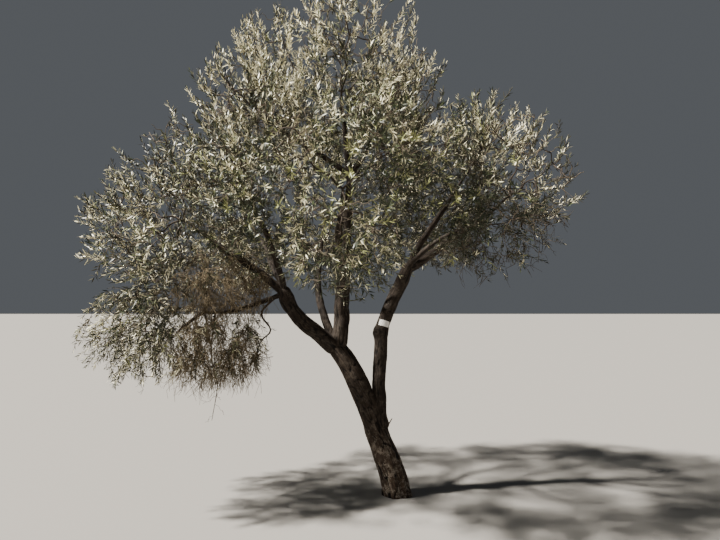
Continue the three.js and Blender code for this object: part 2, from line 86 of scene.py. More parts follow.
LIMBS = {
    "trunk": Limb((0, 0, 0), (-0.122, 0, 0.628), HIGH_FORK, (0.109, 0.080)),
    "right_bough": Limb(LOW_FORK, (-0.166, 0.030, 1.310), RIGHT_FORK, (0.059, 0.053), 0.88),
    "left_bough": Limb(HIGH_FORK, (-0.880, -0.055, 1.470), LEFT_HEAD, (0.070, 0.054), 0.72),
    "centre_bough": Limb(HIGH_FORK, (-0.440, 0.030, 1.560), CENTRE_FORK, (0.066, 0.060)),
    "back_bough": Limb(HIGH_FORK, (-0.760, 0.260, 1.640), (-0.640, 0.700, 2.370), (0.038, 0.020)),
    "centre_leader": Limb(CENTRE_FORK, (-0.395, 0.090, 2.300), CROWN_FORK, (0.040, 0.031)),
    "inner_back_bough": Limb(CENTRE_FORK, (-0.560, 0.180, 2.200), (-0.300, 0.620, 2.850), (0.034, 0.020)),
    "front_bough": Limb(CENTRE_FORK, (-0.500, -0.330, 2.080), (-0.420, -0.820, 2.380), (0.030, 0.019)),
    "top_limb": Limb(CROWN_FORK, (-0.440, 0.020, 3.000), (-0.460, -0.020, 3.370), (0.027, 0.019)),
    "arch_limb": Limb(CROWN_FORK, (-0.730, 0.000, 2.910), (-0.980, -0.090, 3.030), (0.026, 0.019)),
    "upper_right_limb": Limb(CROWN_FORK, (-0.230, 0.040, 2.880), (-0.120, 0.060, 3.160), (0.024, 0.018)),
    "right_outer_bough": Limb(RIGHT_FORK, (0.520, 0.130, 2.100), (0.990, 0.120, 2.500), (0.042, 0.022)),
    "right_upper_bough": Limb(RIGHT_FORK, (0.240, -0.090, 2.160), (0.590, -0.160, 2.650), (0.030, 0.019)),
    "right_front_bough": Limb(RIGHT_FORK, (0.200, -0.100, 2.050), (0.550, -0.360, 2.170), (0.024, 0.017)),
    "right_back_bough": Limb(RIGHT_FORK, (0.190, 0.290, 2.030), (0.340, 0.560, 2.270), (0.026, 0.017)),
    "left_rising_bough": Limb(LEFT_HEAD, (-1.260, -0.130, 1.930), (-1.760, -0.080, 2.260), (0.036, 0.021)),
    "left_upright_bough": Limb(LEFT_HEAD, (-0.960, -0.260, 2.080), (-1.270, -0.430, 2.480), (0.030, 0.019)),
    "left_back_bough": Limb(LEFT_HEAD, (-1.050, 0.250, 1.930), (-1.380, 0.560, 2.400), (0.029, 0.019)),
    "left_low_bough": Limb(LEFT_HEAD, (-1.230, -0.150, 1.500), LEFT_BEND, (0.022, 0.015)),
    "left_low_tip": Limb(LEFT_BEND, (-1.680, -0.190, 1.440), (-1.800, -0.200, 1.300), (0.015, 0.012)),
}

# A limb wanders off its even curve by this share of its length. The curve is worked out at so many places,
# its way is read between shares of its length so far to each side, and it wanders over so many spans, each
# drawn in so many steps
WANDER = 0.012
CURVE_PLACES = 400
WAY_STEP = 0.005
CURVE_SPANS = 8
SPAN_STEPS = 24

# Root flare: ridges that spread over the ground and die out above it, and rings that turn level at its foot
FLARE_WIDTH = 0.018
FLARE_HEIGHT = 0.120
FLARE_RIDGES = 5
FLARE_RELIEF = 0.45
FLARE_TURN = 0.17
LEVEL_BELOW = 0.18

# Other limbs start thinner by this share, inside the wood that they leave, and swell by this one at so many
# of their own radii further on, over so many radii
THINNER_START = 0.17
SWELLING = 0.09
SWELLING_PLACE = 1.7
SWELLING_LENGTH = 1.1

# Width of the faces on a thick limb and on a thin one, and the radii above which a limb has the narrow faces
# and the thick bark
THICK_FACET = 0.0034
THIN_FACET = 0.0056
NARROW_FACES_ABOVE = 0.045
THICK_BARK_ABOVE = 0.04

# A limb has at least so many sides, a ring at each such step, and a round end of rings at these angles
LEAST_SIDES = 26
RING_STEP = 0.010
END_ANGLES = (18, 36, 54, 72)

# Furrows are as deep as on a limb of this radius at most. Their lines sway by this share of a turn over such
# a distance, and those of the three widths are so sharp. A ridge's height has a share of its own, one for
# each finer width and one by which some strips stand over others
FURROWED_RADIUS = 0.09
SWAY = 0.030
SWAY_LENGTH = 0.11
SHARPNESS = (0.26, 0.34, 0.55)
RIDGE_SHARES = (0.40, 0.24, 0.12, 0.24)

# The pattern of the grain is so many times longer than wide
GRAIN_STRETCH = 9


class Mark(NamedTuple):
    """A knot, scar or cleft: its share of the limb, its degrees round from the front towards the right, its
    half length along and around, how far it stands out and how far its middle is dished."""

    share: float
    turn: float
    along: float
    around: float
    height: float
    dish: float = 0.0


MARKS = {
    "trunk": (
        Mark(0.16, 24, 0.130, 0.013, -0.026),
        Mark(0.10, -28, 0.090, 0.012, -0.016),
        Mark(0.14, 62, 0.110, 0.014, -0.014),
        Mark(0.30, -8, 0.035, 0.026, 0.008, 0.9),
        Mark(0.47, 40, 0.120, 0.016, -0.010),
        Mark(0.78, -40, 0.050, 0.040, 0.012, 0.6),
        Mark(0.40, 190, 0.060, 0.050, 0.014, 0.8),
    ),
    "right_bough": (
        Mark(0.580, -80, 0.040, 0.050, 0.030, 0.30),
        Mark(0.572, -42, 0.026, 0.026, 0.013, 2.0),
        Mark(0.35, 30, 0.040, 0.022, 0.006, 0.9),
        Mark(0.84, -60, 0.035, 0.030, 0.007, 0.8),
        Mark(0.92, 120, 0.050, 0.040, 0.010, 0.5),
    ),
    "left_bough": (
        Mark(0.97, -20, 0.050, 0.045, 0.016, 0.7),
        Mark(0.90, 80, 0.055, 0.045, 0.018, 0.4),
        Mark(0.99, 170, 0.050, 0.050, 0.016),
        Mark(0.88, -110, 0.050, 0.040, 0.014, 0.9),
        Mark(0.50, -60, 0.045, 0.035, 0.007, 0.9),
    ),
    "centre_bough": (
        Mark(0.30, -30, 0.110, 0.014, -0.010),
        Mark(0.55, 35, 0.140, 0.012, -0.011),
        Mark(0.90, -70, 0.040, 0.036, 0.012, 0.5),
    ),
}

# The label's share of the right bough and its half height and half width. Beneath it and this far beside it
# the bark is smooth, a little thinner, and goes over to the rough one in these distances along and around
LABEL_PLACE = 0.632
LABEL_HALF = (0.025, 0.042)
LABEL_EDGE = 0.012
SMOOTH_BARK = 0.985
EDGE_FADES = (0.012, 0.016)

# The label stands off the bark, is so thick, its sides are rounded by this share, and it lifts at its
# corners and ripples
LABEL_GAP = 0.0006
LABEL_THICKNESS = 0.0008
LABEL_ROUNDING = 0.07
CORNER_LIFT = 0.0012
LABEL_RIPPLE = 0.0004

# Strips of bark turn round a limb, in radians per metre, and are so many times longer than wide
TWIST = {"trunk": 0.9, "centre_bough": 0.5, "right_bough": -0.7, "left_bough": 1.1}
USUAL_TWIST = 0.4
STRIP_STRETCH = {"centre_bough": 18.0, "trunk": 13.0}
USUAL_STRETCH = 9.0

# A limb that carries foliage thins out towards its tip by this share of its radius, over this soft step
TIP_STEP = (0.45, 0.55)
TIP_THINNING = {"left_low_bough": 0.15}
USUAL_THINNING = 0.52

# The trunk's ridges go over upwards to so many times the ridges' colour, as painted shade under the
# crown, and its lichen with its painted dapples of light to this amount
HIGH_GAIN = 0.72
HIGH_LICHEN_AND_DAPPLES = 0.12


class BareTwig(NamedTuple):
    """A leafless twig through a few points, its radii at both ends, and its count of side twigs."""

    through: tuple
    radii: tuple
    side_twigs: int


BARE_TWIGS = {
    "hanging_twig_inner": BareTwig(
        (
            (-0.985, -0.095, 1.630),
            (-1.108, -0.110, 1.490),
            (-1.030, -0.115, 1.350),
            (-1.118, -0.120, 1.240),
            (-1.180, -0.125, 0.960),
        ),
        (0.010, 0.003),
        7,
    ),
    "hanging_twig_outer": BareTwig(
        (
            (-1.470, -0.172, 1.495),
            (-1.498, -0.180, 1.212),
            (-1.474, -0.185, 1.036),
            (-1.441, -0.188, 0.917),
            (-1.482, -0.190, 0.639),
        ),
        (0.007, 0.002),
        9,
    ),
    "broken_stub": BareTwig(
        ((-0.430, 0.040, 1.860), (-0.330, 0.000, 1.880), (-0.175, -0.020, 1.825)), (0.015, 0.009), 2
    ),
}


# A bare twig has so many rings and sides. Its radii swell and shrink by this share, by a sine that moves on
# by so many radians from ring to ring
BARE_RINGS = 28
BARE_SIDES = 7
KNOBS = 0.12
KNOB_STEP = 2.1

# Its side twigs leave it between these shares of it, at this angle in degrees. They are so long, by chance
# between these times as long, have so many rings and sides, thin out from the first to the second share of
# its radius there, are never thinner than this, and swing aside by this share of their length
SIDE_TWIG_PLACES = (0.3, 0.96)
SIDE_TWIG_ANGLE = 52
SIDE_TWIG_LENGTH = 0.12
SIDE_TWIG_LENGTHS = (0.6, 1.2)
SIDE_TWIG_RINGS = 8
SIDE_TWIG_SIDES = 5
SIDE_TWIG_TAPER = (0.5, 0.22)
SIDE_TWIG_RADIUS = 0.0009
SIDE_TWIG_CROOK = 0.08

# A last fork leaves each side twig at this ring, at this angle in radians, and has this share of its length
LAST_FORK_RING = 5
LAST_FORK_ANGLE = 0.7
LAST_FORK_LENGTH = 0.45

# A short dead twig on the trunk's right side: its foot, its knee and its two tips
DEAD_TWIG = (
    (-0.078, -0.030, 0.550),
    (-0.064, -0.052, 0.581),
    (-0.037, -0.052, 0.626),
    (-0.104, -0.078, 0.713),
)

# Twigs that leave the stem of a leafy mass first, and of a bare one
LEAFY_TWIGS = 5
BARE_MASS_TWIGS = 12


class Fan(NamedTuple):
    """A ring of `count` masses of foliage round the tip of a limb, `spread` degrees off `axis` and `reach`
    from the tip, the first one turned `turn` degrees round it, with one more on the axis at `crest` where
    that isn't 0. `size` is a mass's half length each way, and `lift` turns its shoots up or down. A bare fan
    has twigs and next to no leaves."""

    axis: tuple
    count: int
    reach: float
    spread: float
    size: tuple
    lift: float
    turn: float = 0
    crest: float = 0
    bare: bool = False


FANS = {
    "top_limb": Fan((0, 0, 1), 3, 0.70, 58, (0.52, 0.58, 0.46), 0.6, turn=10, crest=0.30),
    "arch_limb": Fan((-0.85, 0, 0.38), 2, 0.45, 62, (0.49, 0.54, 0.46), 0.5, crest=0.35),
    "upper_right_limb": Fan((0.7, 0, 0.5), 2, 0.36, 62, (0.40, 0.50, 0.44), 0.6),
    "right_outer_bough": Fan((0.25, 0, 1), 3, 0.39, 62, (0.38, 0.50, 0.44), 0.4, turn=90, crest=0.42),
    "right_upper_bough": Fan((0.4, 0, 0.8), 2, 0.38, 62, (0.50, 0.52, 0.41), 0.5),
    "right_front_bough": Fan((0.45, -0.85, -0.05), 1, 0.33, 0, (0.54, 0.50, 0.44), -0.3),
    "right_back_bough": Fan((0.2, 0.9, 0.1), 1, 0.38, 0, (0.60, 0.50, 0.52), -0.2),
    "left_rising_bough": Fan((-0.95, 0, 0.2), 3, 0.46, 70, (0.48, 0.60, 0.55), 0.1, turn=90, crest=0.40),
    "left_upright_bough": Fan((-0.3, -0.5, 0.5), 3, 0.43, 62, (0.54, 0.54, 0.54), 0.2, turn=90),
    "left_back_bough": Fan((-0.3, 0.9, 0.3), 2, 0.44, 50, (0.58, 0.54, 0.54), 0.1, turn=90),
    "left_low_tip": Fan((-1, 0, 0.15), 2, 0.34, 60, (0.46, 0.46, 0.42), -0.5),
    "back_bough": Fan((0, 0.9, 0.2), 1, 0.36, 0, (0.80, 0.52, 0.56), 0.1),
    "inner_back_bough": Fan((0.4, 0.8, 0.3), 2, 0.45, 52, (0.54, 0.52, 0.54), 0.2),
    "front_bough": Fan((0, -0.95, 0.2), 3, 0.44, 58, (0.56, 0.52, 0.52), -0.1, turn=-90),
    "left_low_bough": Fan((1, 0, 0), 2, 0.30, 75, (0.50, 0.44, 0.36), -0.6, turn=75, bare=True),
}

# The middle of the crown, and its half length each way
CROWN_HEART = np.array((-0.480, 0.000, 2.350))
CROWN_HALF = np.array((2.10, 1.60, 1.80))

# The source's rule for the stem and the first twigs of a mass
STEM_REACH = 0.85
STEM_RADII = (0.007, 0.005)
STEM_PLACES = (0.3, 0.5, 0.7, 0.9)
TWIG_REACH = 0.66
DRAWN_IN = 0.8
TWIG_SAG = 0.12
TWIG_WIDTH = 0.007
BACKMOST = -0.55

# Foliage keeps so far from the border of its own space and from other wood, which is tested in such steps
SPACE_MARGIN = 0.005
LEAF_CLEARANCE = 0.008
OBSTACLE_STEP = 0.03


class Wood(NamedTuple):
    """Finer wood than the source has: its radii at root and tip in metres, its rings and sides, and how far
    it swings aside as a share of its length."""

    root: float
    tip: float
    rings: int
    sides: int
    crook: float = 0

    def shares(self):
        """Even shares of a path, one for each ring."""
        return np.linspace(0, 1, self.rings)


STEM_WOOD = Wood(0.0090, 0.0045, 14, 7, 0.05)
TWIG_WOOD = Wood(0.0054, 0.0028, 12, 6, 0.06)
BRANCHLET_WOOD = Wood(0.0036, 0.0019, 7, 4, 0.09)
SHOOT_WOOD = Wood(0.0018, 0.0009, 3, 3)
DRY_WOOD = Wood(0.0026, 0.0012, 5, 3, 0.12)
DRY_FORK_WOOD = Wood(0.0016, 0.0009, 3, 3)
LAST_FORK_WOOD = Wood(0.0012, 0.0008, 5, 4, 0.06)

# A dry twig forks at these shares of its length. Its forks open by an angle between these, in radians, sag
# by this share, and are as long as a share of it between these
DRY_FORKS = (0.45, 0.75)
FORK_OPENING = (0.4, 1.1)
FORK_SAG = 0.25
FORK_LENGTHS = (0.25, 0.55)

# Finer wood of a leafy mass turns back by at most this cosine. Branchlets end between these shares of their
# mass's half lengths, dry twigs between the next two, and shoots from the first of those on. Dry twigs and
# shoots are left out where the nearest wood is further off than this
FINE_BACKMOST = -0.8
BRANCHLET_REACH = (0.35, 0.86)
SHOOT_REACH = (0.25, 0.985)
FURTHEST_ROOT = 0.32


class LeafShape(NamedTuple):
    """A leaf's outline as shares of its length and width, from its root round the right edge to the tip and
    back, and its triangles by the numbers of its corners: flat across above, and keeled by the midrib
    below."""

    outline: tuple
    above: tuple
    below: tuple


FULL_LEAF = LeafShape(
    ((0.0, 0.0), (0.34, -0.5), (0.70, -0.39), (1.0, 0.0), (0.70, 0.39), (0.34, 0.5)),
    ((0, 1, 5), (1, 2, 4), (1, 4, 5), (2, 3, 4)),
    ((0, 2, 1), (0, 3, 2), (0, 4, 3), (0, 5, 4)),
)
NARROW_LEAF = LeafShape(
    ((0.0, 0.0), (0.43, -0.5), (1.0, 0.0), (0.43, 0.5)), ((0, 1, 3), (1, 2, 3)), ((0, 2, 1), (0, 3, 2))
)
LEAF_BEND = 0.10

# A shoot has so many pairs of leaves at most, on its end and on this share of the run before it. Chance in
# the leaves starts from seeds this far on from those of the wood
NODES_ON_SHOOT = 14
LEAFED_RUN = 0.45
LEAF_SEEDS = 1000

# Shoots are between so many times as long as the usual one, and their ends lie about this far off by chance
SHOOT_LENGTHS = (0.7, 1.35)
SHOOT_SCATTER = 0.012

# The way a shoot points: weights of the way out of its mass, of its mass's own way and of its mass's lift,
# what every lifted shoot rises more, and the spread by chance
SHOOT_WAYS = (0.55, 0.3, 1.25)
LIFTED_RISE = 0.28
SHOOT_SPREAD = 0.3

# A leaf opens by the first angle at a shoot's tip and by the second so many pairs further back, in degrees.
# It has this share of its full size at the tip, the whole of it so many pairs further back, and is missing
# by this chance
LEAF_OPENING = (14, 48)
OPEN_AFTER = 4
YOUNG_LEAF = 0.62
GROWN_AFTER = 2
MISSING_LEAVES = 0.08

# Leaves by chance: their size, the spread of their opening in degrees and of their turn, way and upper side
LEAF_SIZES = (0.74, 1.25)
OPENING_SPREAD = 14
TURN_SPREAD = 0.5
WAY_SPREAD = 0.12
SIDE_SPREAD = 0.35

# How far leaves rise, and how much more by their mass's lift. The light to which their upper sides turn, by
# at most so much, comes from above and from outside
LEAF_RISE = 0.12
LIFT_RISE = 0.2
LIGHT_WAYS = (0.5, 0.35)
MOST_TURNED = 1.3

# Leaves nearer to the crown's heart than this are narrow, and so is this share of the others
NARROW_DEPTH = 0.60
NARROW_SHARE = 0.30

# Sprays stand in clumps that are taller than wide, with open space between them towards the crown's rim
CLUMP_SIZE = (0.13, 0.13, 0.26)
LATTICE = 32

# A leaf's tint and its underside's follow how much painted light its spray gets, dark tints for painted
# shade and pale ones for painted sunlit highlights, and change where that passes these levels
TINTS = {
    "shaded_deep_olive": (0.019, 0.026, 0.010),
    "grey_green": (0.048, 0.062, 0.026),
    "sage": (0.165, 0.180, 0.092),
    "sunlit_silver_green": (0.700, 0.660, 0.445),
    "yellow_green": (0.270, 0.285, 0.115),
}
# The dark underside is painted shade, and the silver one is partly the leaf's own silver and partly a painted
# sunlit highlight
UNDERSIDES = {
    "shaded_underside": (0.046, 0.043, 0.027),
    "dull_underside": (0.190, 0.182, 0.112),
    "sunlit_silver_underside": (0.900, 0.850, 0.630),
}
TINT_LEVELS = (0.44, 0.56, 0.67)
UNDERSIDE_LEVELS = (0.52, 0.62)

# Sprays get lighter and darker tints in clumps of this size, as painted patches of light and shade
TINT_CLUMP = (0.17, 0.17, 0.20)

# How much painted light a spray gets: a start, what its height and its distance from the crown's heart
# add as painted light, what a place low on the right takes away as painted shade, the heights and places
# from which these run and how far, and the spread from leaf to leaf
LEAST_LIGHT = 0.03
HIGH_LIGHT = 0.30
OUTER_LIGHT = 0.32
LOW_RIGHT_SHADE = 0.32
RISE_RUN = (1.5, 2.4)
RIGHT_STEP = (0.1, 0.8)
LOW_STEP = (2.0, 0.7)
LEAF_SPREAD = 0.24

# The share of yellow-green sprays, and how much it grows about a place across and up, over these half
# lengths
YELLOW_SHARE = 0.05
YELLOW_MORE = 0.42
YELLOW_PLACE = (-0.35, 2.15)
YELLOW_HALF = (0.95, 0.60)

# Names, colours and roughness of thick twigs and thin ones, of dry ones in the open and of dry ones in the
# crown's shade
TWIG_FINISHES = (
    ("twig_bark", (0.040, 0.029, 0.021), 0.85),
    ("young_twig", (0.085, 0.065, 0.043), 0.75),
    ("dry_twig", (0.118, 0.090, 0.053), 0.9),
    ("shaded_dry_twig", (0.054, 0.041, 0.027), 0.9),
)


class OpenPlace(NamedTuple):
    """A part of the crown where clumps stand further apart, or closer where `more` is below 0: its middle,
    its half length each way, and how much the level that a clump has to pass is raised."""

    middle: tuple
    half: tuple
    more: float


OPEN_PLACES = (
    OpenPlace((-0.35, 0.00, 4.05), (0.75, 3.00, 0.32), 0.12),
    OpenPlace((-1.60, 0.00, 3.05), (0.40, 3.00, 0.30), 0.16),
    OpenPlace((-2.06, 0.00, 2.88), (0.42, 3.00, 0.22), 0.20),
    OpenPlace((-2.62, 0.00, 2.32), (0.18, 3.00, 0.28), 0.22),
    OpenPlace((0.30, 0.00, 3.38), (0.13, 3.00, 0.30), 0.30),
    OpenPlace((0.13, 0.00, 3.78), (0.25, 3.00, 0.35), -0.20),
    OpenPlace((-1.34, 0.00, 3.68), (0.22, 3.00, 0.32), -0.20),
    OpenPlace((-0.56, 0.00, 3.20), (0.32, 3.00, 0.32), -0.40),
    OpenPlace((0.30, 0.00, 2.24), (0.30, 3.00, 0.30), -0.60),
)

# Clumps have to pass this level deep in the crown. Soft steps, each from a value on over a distance, lead to
# the open rim and up from the skirt
INNER_LEVEL = 0.22
RIM_STEP = (0.48, 0.42)
SKIRT_STEP = (1.45, 0.6)

# Sprays inside the crown may stand this share beyond the space of their mass, by soft steps outward and
# upward
INNER_STRETCH = 0.36
INNER_STEP = (0.50, 0.22)
STRETCH_STEP = (1.7, 0.3)


class DryPlace(NamedTuple):
    """A part of the crown where dry twigs hang: its middle, its half length each way, and how dry it is."""

    middle: tuple
    half: tuple
    dryness: float


DRY_PLACES = (
    DryPlace((-1.38, -0.18, 1.32), (0.60, 0.55, 0.44), 0.95),
    DryPlace((-1.25, -0.15, 1.90), (0.60, 0.50, 0.35), 0.34),
    DryPlace((0.80, -0.20, 2.05), (0.65, 0.60, 0.32), 0.66),
    DryPlace((0.05, -0.25, 1.90), (0.55, 0.50, 0.25), 0.42),
    DryPlace((-0.45, 0.00, 2.60), (0.90, 0.70, 0.65), 0.30),
    DryPlace((-0.85, -0.05, 3.05), (0.50, 0.60, 0.32), 0.28),
    DryPlace((-0.18, -0.05, 3.15), (0.42, 0.55, 0.42), 0.42),
)

# Dry tips hang by up to so much in bare masses and in leafy ones, but not below this height
DRY_SAG = 0.24
LEAFY_SAG = 0.10
LOWEST_TWIG = 0.85

# Dry twigs stand in clumps of this size, by a soft step of chance, where the crown is drier than this, and
# so many times denser in bare masses
DRY_CLUMP = (0.10, 0.10, 0.18)
DRY_STEP = (0.20, 0.35)
LEAST_DRYNESS = 0.06
BARE_DENSER = 4.4

# Shoots are missing by this chance, which grows with dryness at these rates in bare masses and in leafy
# ones, up to the last value
MISSING_SHOOTS = 0.03
BARE_LEAFLESS = 1.25
LEAFY_LEAFLESS = 0.75
MOST_LEAFLESS = 0.93

# The stage: half the floor's width, the sun's width in degrees, its colour and its turns in degrees, and the
# photograph's viewing place, tilt in degrees, and lens and sensor in millimetres
FLOOR_HALF = 70.0
SUN_WIDTH = 3
SUN_COLOUR = (1.0, 0.95, 0.86)
SUN_TURNS = (39, 0, -80)
CAMERA_PLACE = (-0.300, -4.900, 1.585)
CAMERA_TILT = 3.1
LENS_LENGTH = 29.15
SENSOR_WIDTH = 36


def length_setting(name, description, default, low, high):
    """A length in metres that a user can change."""
    return bpy.props.FloatProperty(
        name=name,
        description=description,
        default=default,
        min=low,
        max=high,
        unit="LENGTH",
        subtype="DISTANCE",
    )


def share_setting(name, description, default, low=0.0, high=1.0):
    """A share of something that a user can change."""
    return bpy.props.FloatProperty(
        name=name, description=description, default=default, min=low, max=high, subtype="FACTOR"
    )


def number_setting(name, description, default, low, high):
    """A plain number that a user can change."""
    return bpy.props.FloatProperty(name=name, description=description, default=default, min=low, max=high)


def colour_setting(name, description, default):
    """A colour that a user can change."""
    return bpy.props.FloatVectorProperty(
        name=name, description=description, default=default, min=0.0, max=1.0, size=3, subtype="COLOR"
    )


class OliveBarkSettings(bpy.types.PropertyGroup):
    """Sizes and colours of the bark."""

    furrow_depth: share_setting("Furrow Depth", "Depth of furrows as a share of the radius", 0.06, high=0.3)
    strip_width: length_setting("Strip Width", "Width of the trunk's strips of bark", 0.009, 0.004, 0.1)
    lumps: share_setting("Lumps", "How far a limb swells, as a share of its radius", 0.22, high=0.5)
    ridge_colour: colour_setting("Ridges", "Colour of the weathered ridges", (0.078, 0.054, 0.038))
    # The furrows' colour is partly the bark's own and partly painted shade in the furrows
    furrow_colour: colour_setting("Furrows", "Colour at the bottom of the furrows", (0.006, 0.004, 0.003))
    # Pale patches, partly lichen and partly painted dapples of light
    lichen_and_dapple_colour: colour_setting("Lichen And Dapples", "Colour of the pale patches", (0.42, 0.36, 0.29))


class OliveFoliageSettings(bpy.types.PropertyGroup):
    """Sizes and counts of the twigs and leaves."""

    leaf_length: length_setting("Leaf Length", "Length of a full-grown leaf", 0.048, 0.02, 0.15)
    leaf_width: share_setting("Leaf Width", "Width of a leaf as a share of its length", 0.165, 0.05)
    shoot_length: length_setting("Shoot Length", "Length of the leafy end of a shoot", 0.19, 0.05, 0.5)
    internode: length_setting("Internode", "Distance between two pairs of leaves", 0.016, 0.005, 0.1)
    shoots: number_setting("Shoots", "Shoots tried for each cubic metre of a mass", 660.0, 10.0, 2000.0)
    openness: share_setting("Openness", "How open the crown's rim is between clumps of sprays", 0.60)
    branchlets: number_setting("Branchlets", "Branchlets tried for each cubic metre", 60.0, 5.0, 500.0)
    dry_twigs: number_setting("Dry Twigs", "Dry twigs for each cubic metre at most", 1900.0, 0.0, 5000.0)
    seed: bpy.props.IntProperty(
        name="Seed", description="First seed of the chance in the foliage", default=40, min=0
    )


class OliveStageSettings(bpy.types.PropertyGroup):
    """The floor and the light."""

    floor_colour: colour_setting("Floor", "Colour of the floor", (0.20, 0.192, 0.18))
    backdrop_colour: colour_setting("Backdrop", "Colour of the light from all round", (0.80, 0.86, 0.94))
    fill_strength: number_setting("Fill", "Strength of the light from all round", 0.12, 0.0, 10.0)
    key_strength: number_setting("Key", "Strength of the main light", 20.0, 0.0, 50.0)


def unit(vectors):
    """Vectors divided by their own lengths."""
    return vectors / np.maximum(np.linalg.norm(vectors, axis=-1, keepdims=True), 1e-12)


def mix(low, high, share):
    """The value at a share of the way from low to high: low plus the share of what lies between."""
    return low + (high - low) * share


def smooth(share):
    """A soft step from 0 to 1: three times the square less twice the cube."""
    share = np.clip(share, 0.0, 1.0)
    return share * share * (3 - 2 * share)


def step(value, start, run):
    """A soft step from 0 to 1 that starts at a value and runs so far."""
    return smooth((value - start) / run)


def square_to(axis):
    """Two directions square to each axis, the first one level: up crossed with the axis, or the front where
    the axis is upright, and the axis crossed with that."""
    across = np.cross(UP, axis)
    upright = np.linalg.norm(across, axis=-1, keepdims=True) < 0.1
    across = unit(np.where(upright, FRONT, across))
    return across, unit(np.cross(axis, across))


def branch_off(axis, opening, turn):
    """Directions off an axis: the cosine of the opening along it, and its sine across it, shared between the
    two square directions by the cosine and sine of the turn."""
    across, over = square_to(axis)
    opening, turn = np.expand_dims(opening, -1), np.expand_dims(turn, -1)
    return axis * np.cos(opening) + (across * np.cos(turn) + over * np.sin(turn)) * np.sin(opening)


def at_shares(line, shares):
    """Points at shares of a line's length: each coordinate read off against the length run so far."""
    run = np.concatenate(([0.0], np.cumsum(np.linalg.norm(np.diff(line, axis=0), axis=1))))
    places = np.asarray(shares) * run[-1]
    return np.stack([np.interp(places, run, line[:, axis]) for axis in range(3)], axis=-1)


def length_of(line):
    """The sum of the distances between neighbouring points."""
    return np.linalg.norm(np.diff(line, axis=0), axis=1).sum()


def quadratic(root, bend, end, shares):
    """Points of quadratic curves: root, bend and end weighed by the square of 1 - t, twice t times 1 - t,
    and the square of t."""
    t = np.reshape(shares, (1, -1, 1))
    root, bend, end = (np.atleast_2d(place)[:, None] for place in (root, bend, end))
    return root * (1 - t) ** 2 + bend * 2 * t * (1 - t) + end * t**2


def spline_through(points):
    """A smooth line through points: between each two, the cubic whose slope at a point is half the way from
    the point before to the point after it."""
    points = np.asarray(points, float)
    ends = (2 * points[0] - points[1], 2 * points[-1] - points[-2])
    before, here, there, after = (
        np.vstack((ends[0], points, ends[1]))[i : i + len(points) - 1][:, None] for i in range(4)
    )
    t = (np.arange(SPAN_STEPS) / SPAN_STEPS).reshape(1, -1, 1)
    slope, next_slope = (there - before) / 2, (after - here) / 2
    line = (
        here * (2 * t**3 - 3 * t**2 + 1)
        + slope * (t**3 - 2 * t**2 + t)
        + there * (3 * t**2 - 2 * t**3)
        + next_slope * (t**3 - t**2)
    )
    return np.vstack((line.reshape(-1, 3), points[-1]))


@functools.cache
def limb_line(name):
    """A limb's own curve, as the source has it: a cubic bow from start to end whose two handles lie most of
    the way to `via`, moved aside at nine even places by sines that die out at both ends."""
    limb = LIMBS[name]
    start, via, end = (np.array(place, float) for place in (limb.start, limb.via, limb.end))
    handle, far_handle = mix(start, via, limb.crook), mix(end, via, limb.crook)
    t = np.linspace(0, 1, CURVE_PLACES)[:, None]
    bow = (
        start * (1 - t) ** 3
        + handle * 3 * t * (1 - t) ** 2
        + far_handle * 3 * t**2 * (1 - t)
        + end * t**3
    )
    phase = list(LIMBS).index(name)
    share = np.linspace(0, 1, CURVE_SPANS + 1)
    ahead = at_shares(bow, np.minimum(share + WAY_STEP, 1))
    ahead = unit(ahead - at_shares(bow, np.maximum(share - WAY_STEP, 0)))
    across, over = square_to(ahead)
    swing = (length_of(bow) * WANDER * np.sin(math.pi * share))[:, None]
    points = (
        at_shares(bow, share)
        + across * swing * np.sin(9 * share + phase)[:, None]
        + over * swing * np.cos(7 * share + 2 * phase)[:, None]
    )
    return spline_through(points)


def lattice_noise(run, turn, cells, seed):
    """Smooth chance from 0 to 1 on a tube: numbers dealt to the corners of a lattice that closes on itself
    round the tube, and blended between them by a soft step. `run` counts cells along it, and `turn` turns
    round it."""
    table = np.random.default_rng(seed).random((int(run.max()) + 2, cells))
    around = (turn % 1.0) * cells
    row, column = np.floor(run).astype(int), np.floor(around).astype(int)
    along, aside = smooth(run - row), smooth(around - column)
    column, following = column % cells, (column + 1) % cells
    near = mix(table[row, column], table[row, following], aside)
    far = mix(table[row + 1, column], table[row + 1, following], aside)
    return mix(near, far, along)


def space_noise(points, cell, seed):
    """Smooth chance from 0 to 1 in space: numbers dealt to the corners of a lattice that repeats after a
    while, blended between the eight corners round each point by a soft step."""
    table = np.random.default_rng(seed).random((LATTICE, LATTICE, LATTICE))
    place = points / np.array(cell)
    corner = np.floor(place).astype(int)
    share = smooth(place - corner)
    total = np.zeros(len(points))
    for offset in itertools.product((0, 1), repeat=3):
        weight = np.where(offset, share, 1 - share).prod(axis=-1)
        total += weight * table[tuple(((corner + offset) % LATTICE).T)]
    return total


def bark_height(run, turn, girth, strip, stretch, seed):
    """Height of bark from 0 in a furrow to 1 on a ridge. Narrow furrows follow the lines on which smooth
    chance, drawn out along the limb, is just one half, and sway a little. Finer ones at half and a quarter
    of the width split the strips again, and a last chance lifts some strips over others."""
    turn = turn + SWAY * (lattice_noise(run / SWAY_LENGTH, turn, 6, seed + 21) - 0.5)
    cells = max(5, round(girth / (2.4 * strip)))
    long = run / (strip * stretch)
    heights = []
    for level, sharpness in enumerate(SHARPNESS):
        chance = lattice_noise(long * (1 + 0.6 * level), turn, cells * 2**level, seed + level)
        heights.append(smooth(np.abs(2 * chance - 1) / sharpness))
    lifted = lattice_noise(long * 0.8, turn, cells * 2, seed + 5)
    own, finer, finest, over = RIDGE_SHARES
    return heights[0] * (own + finer * heights[1] + finest * heights[2] + over * lifted)


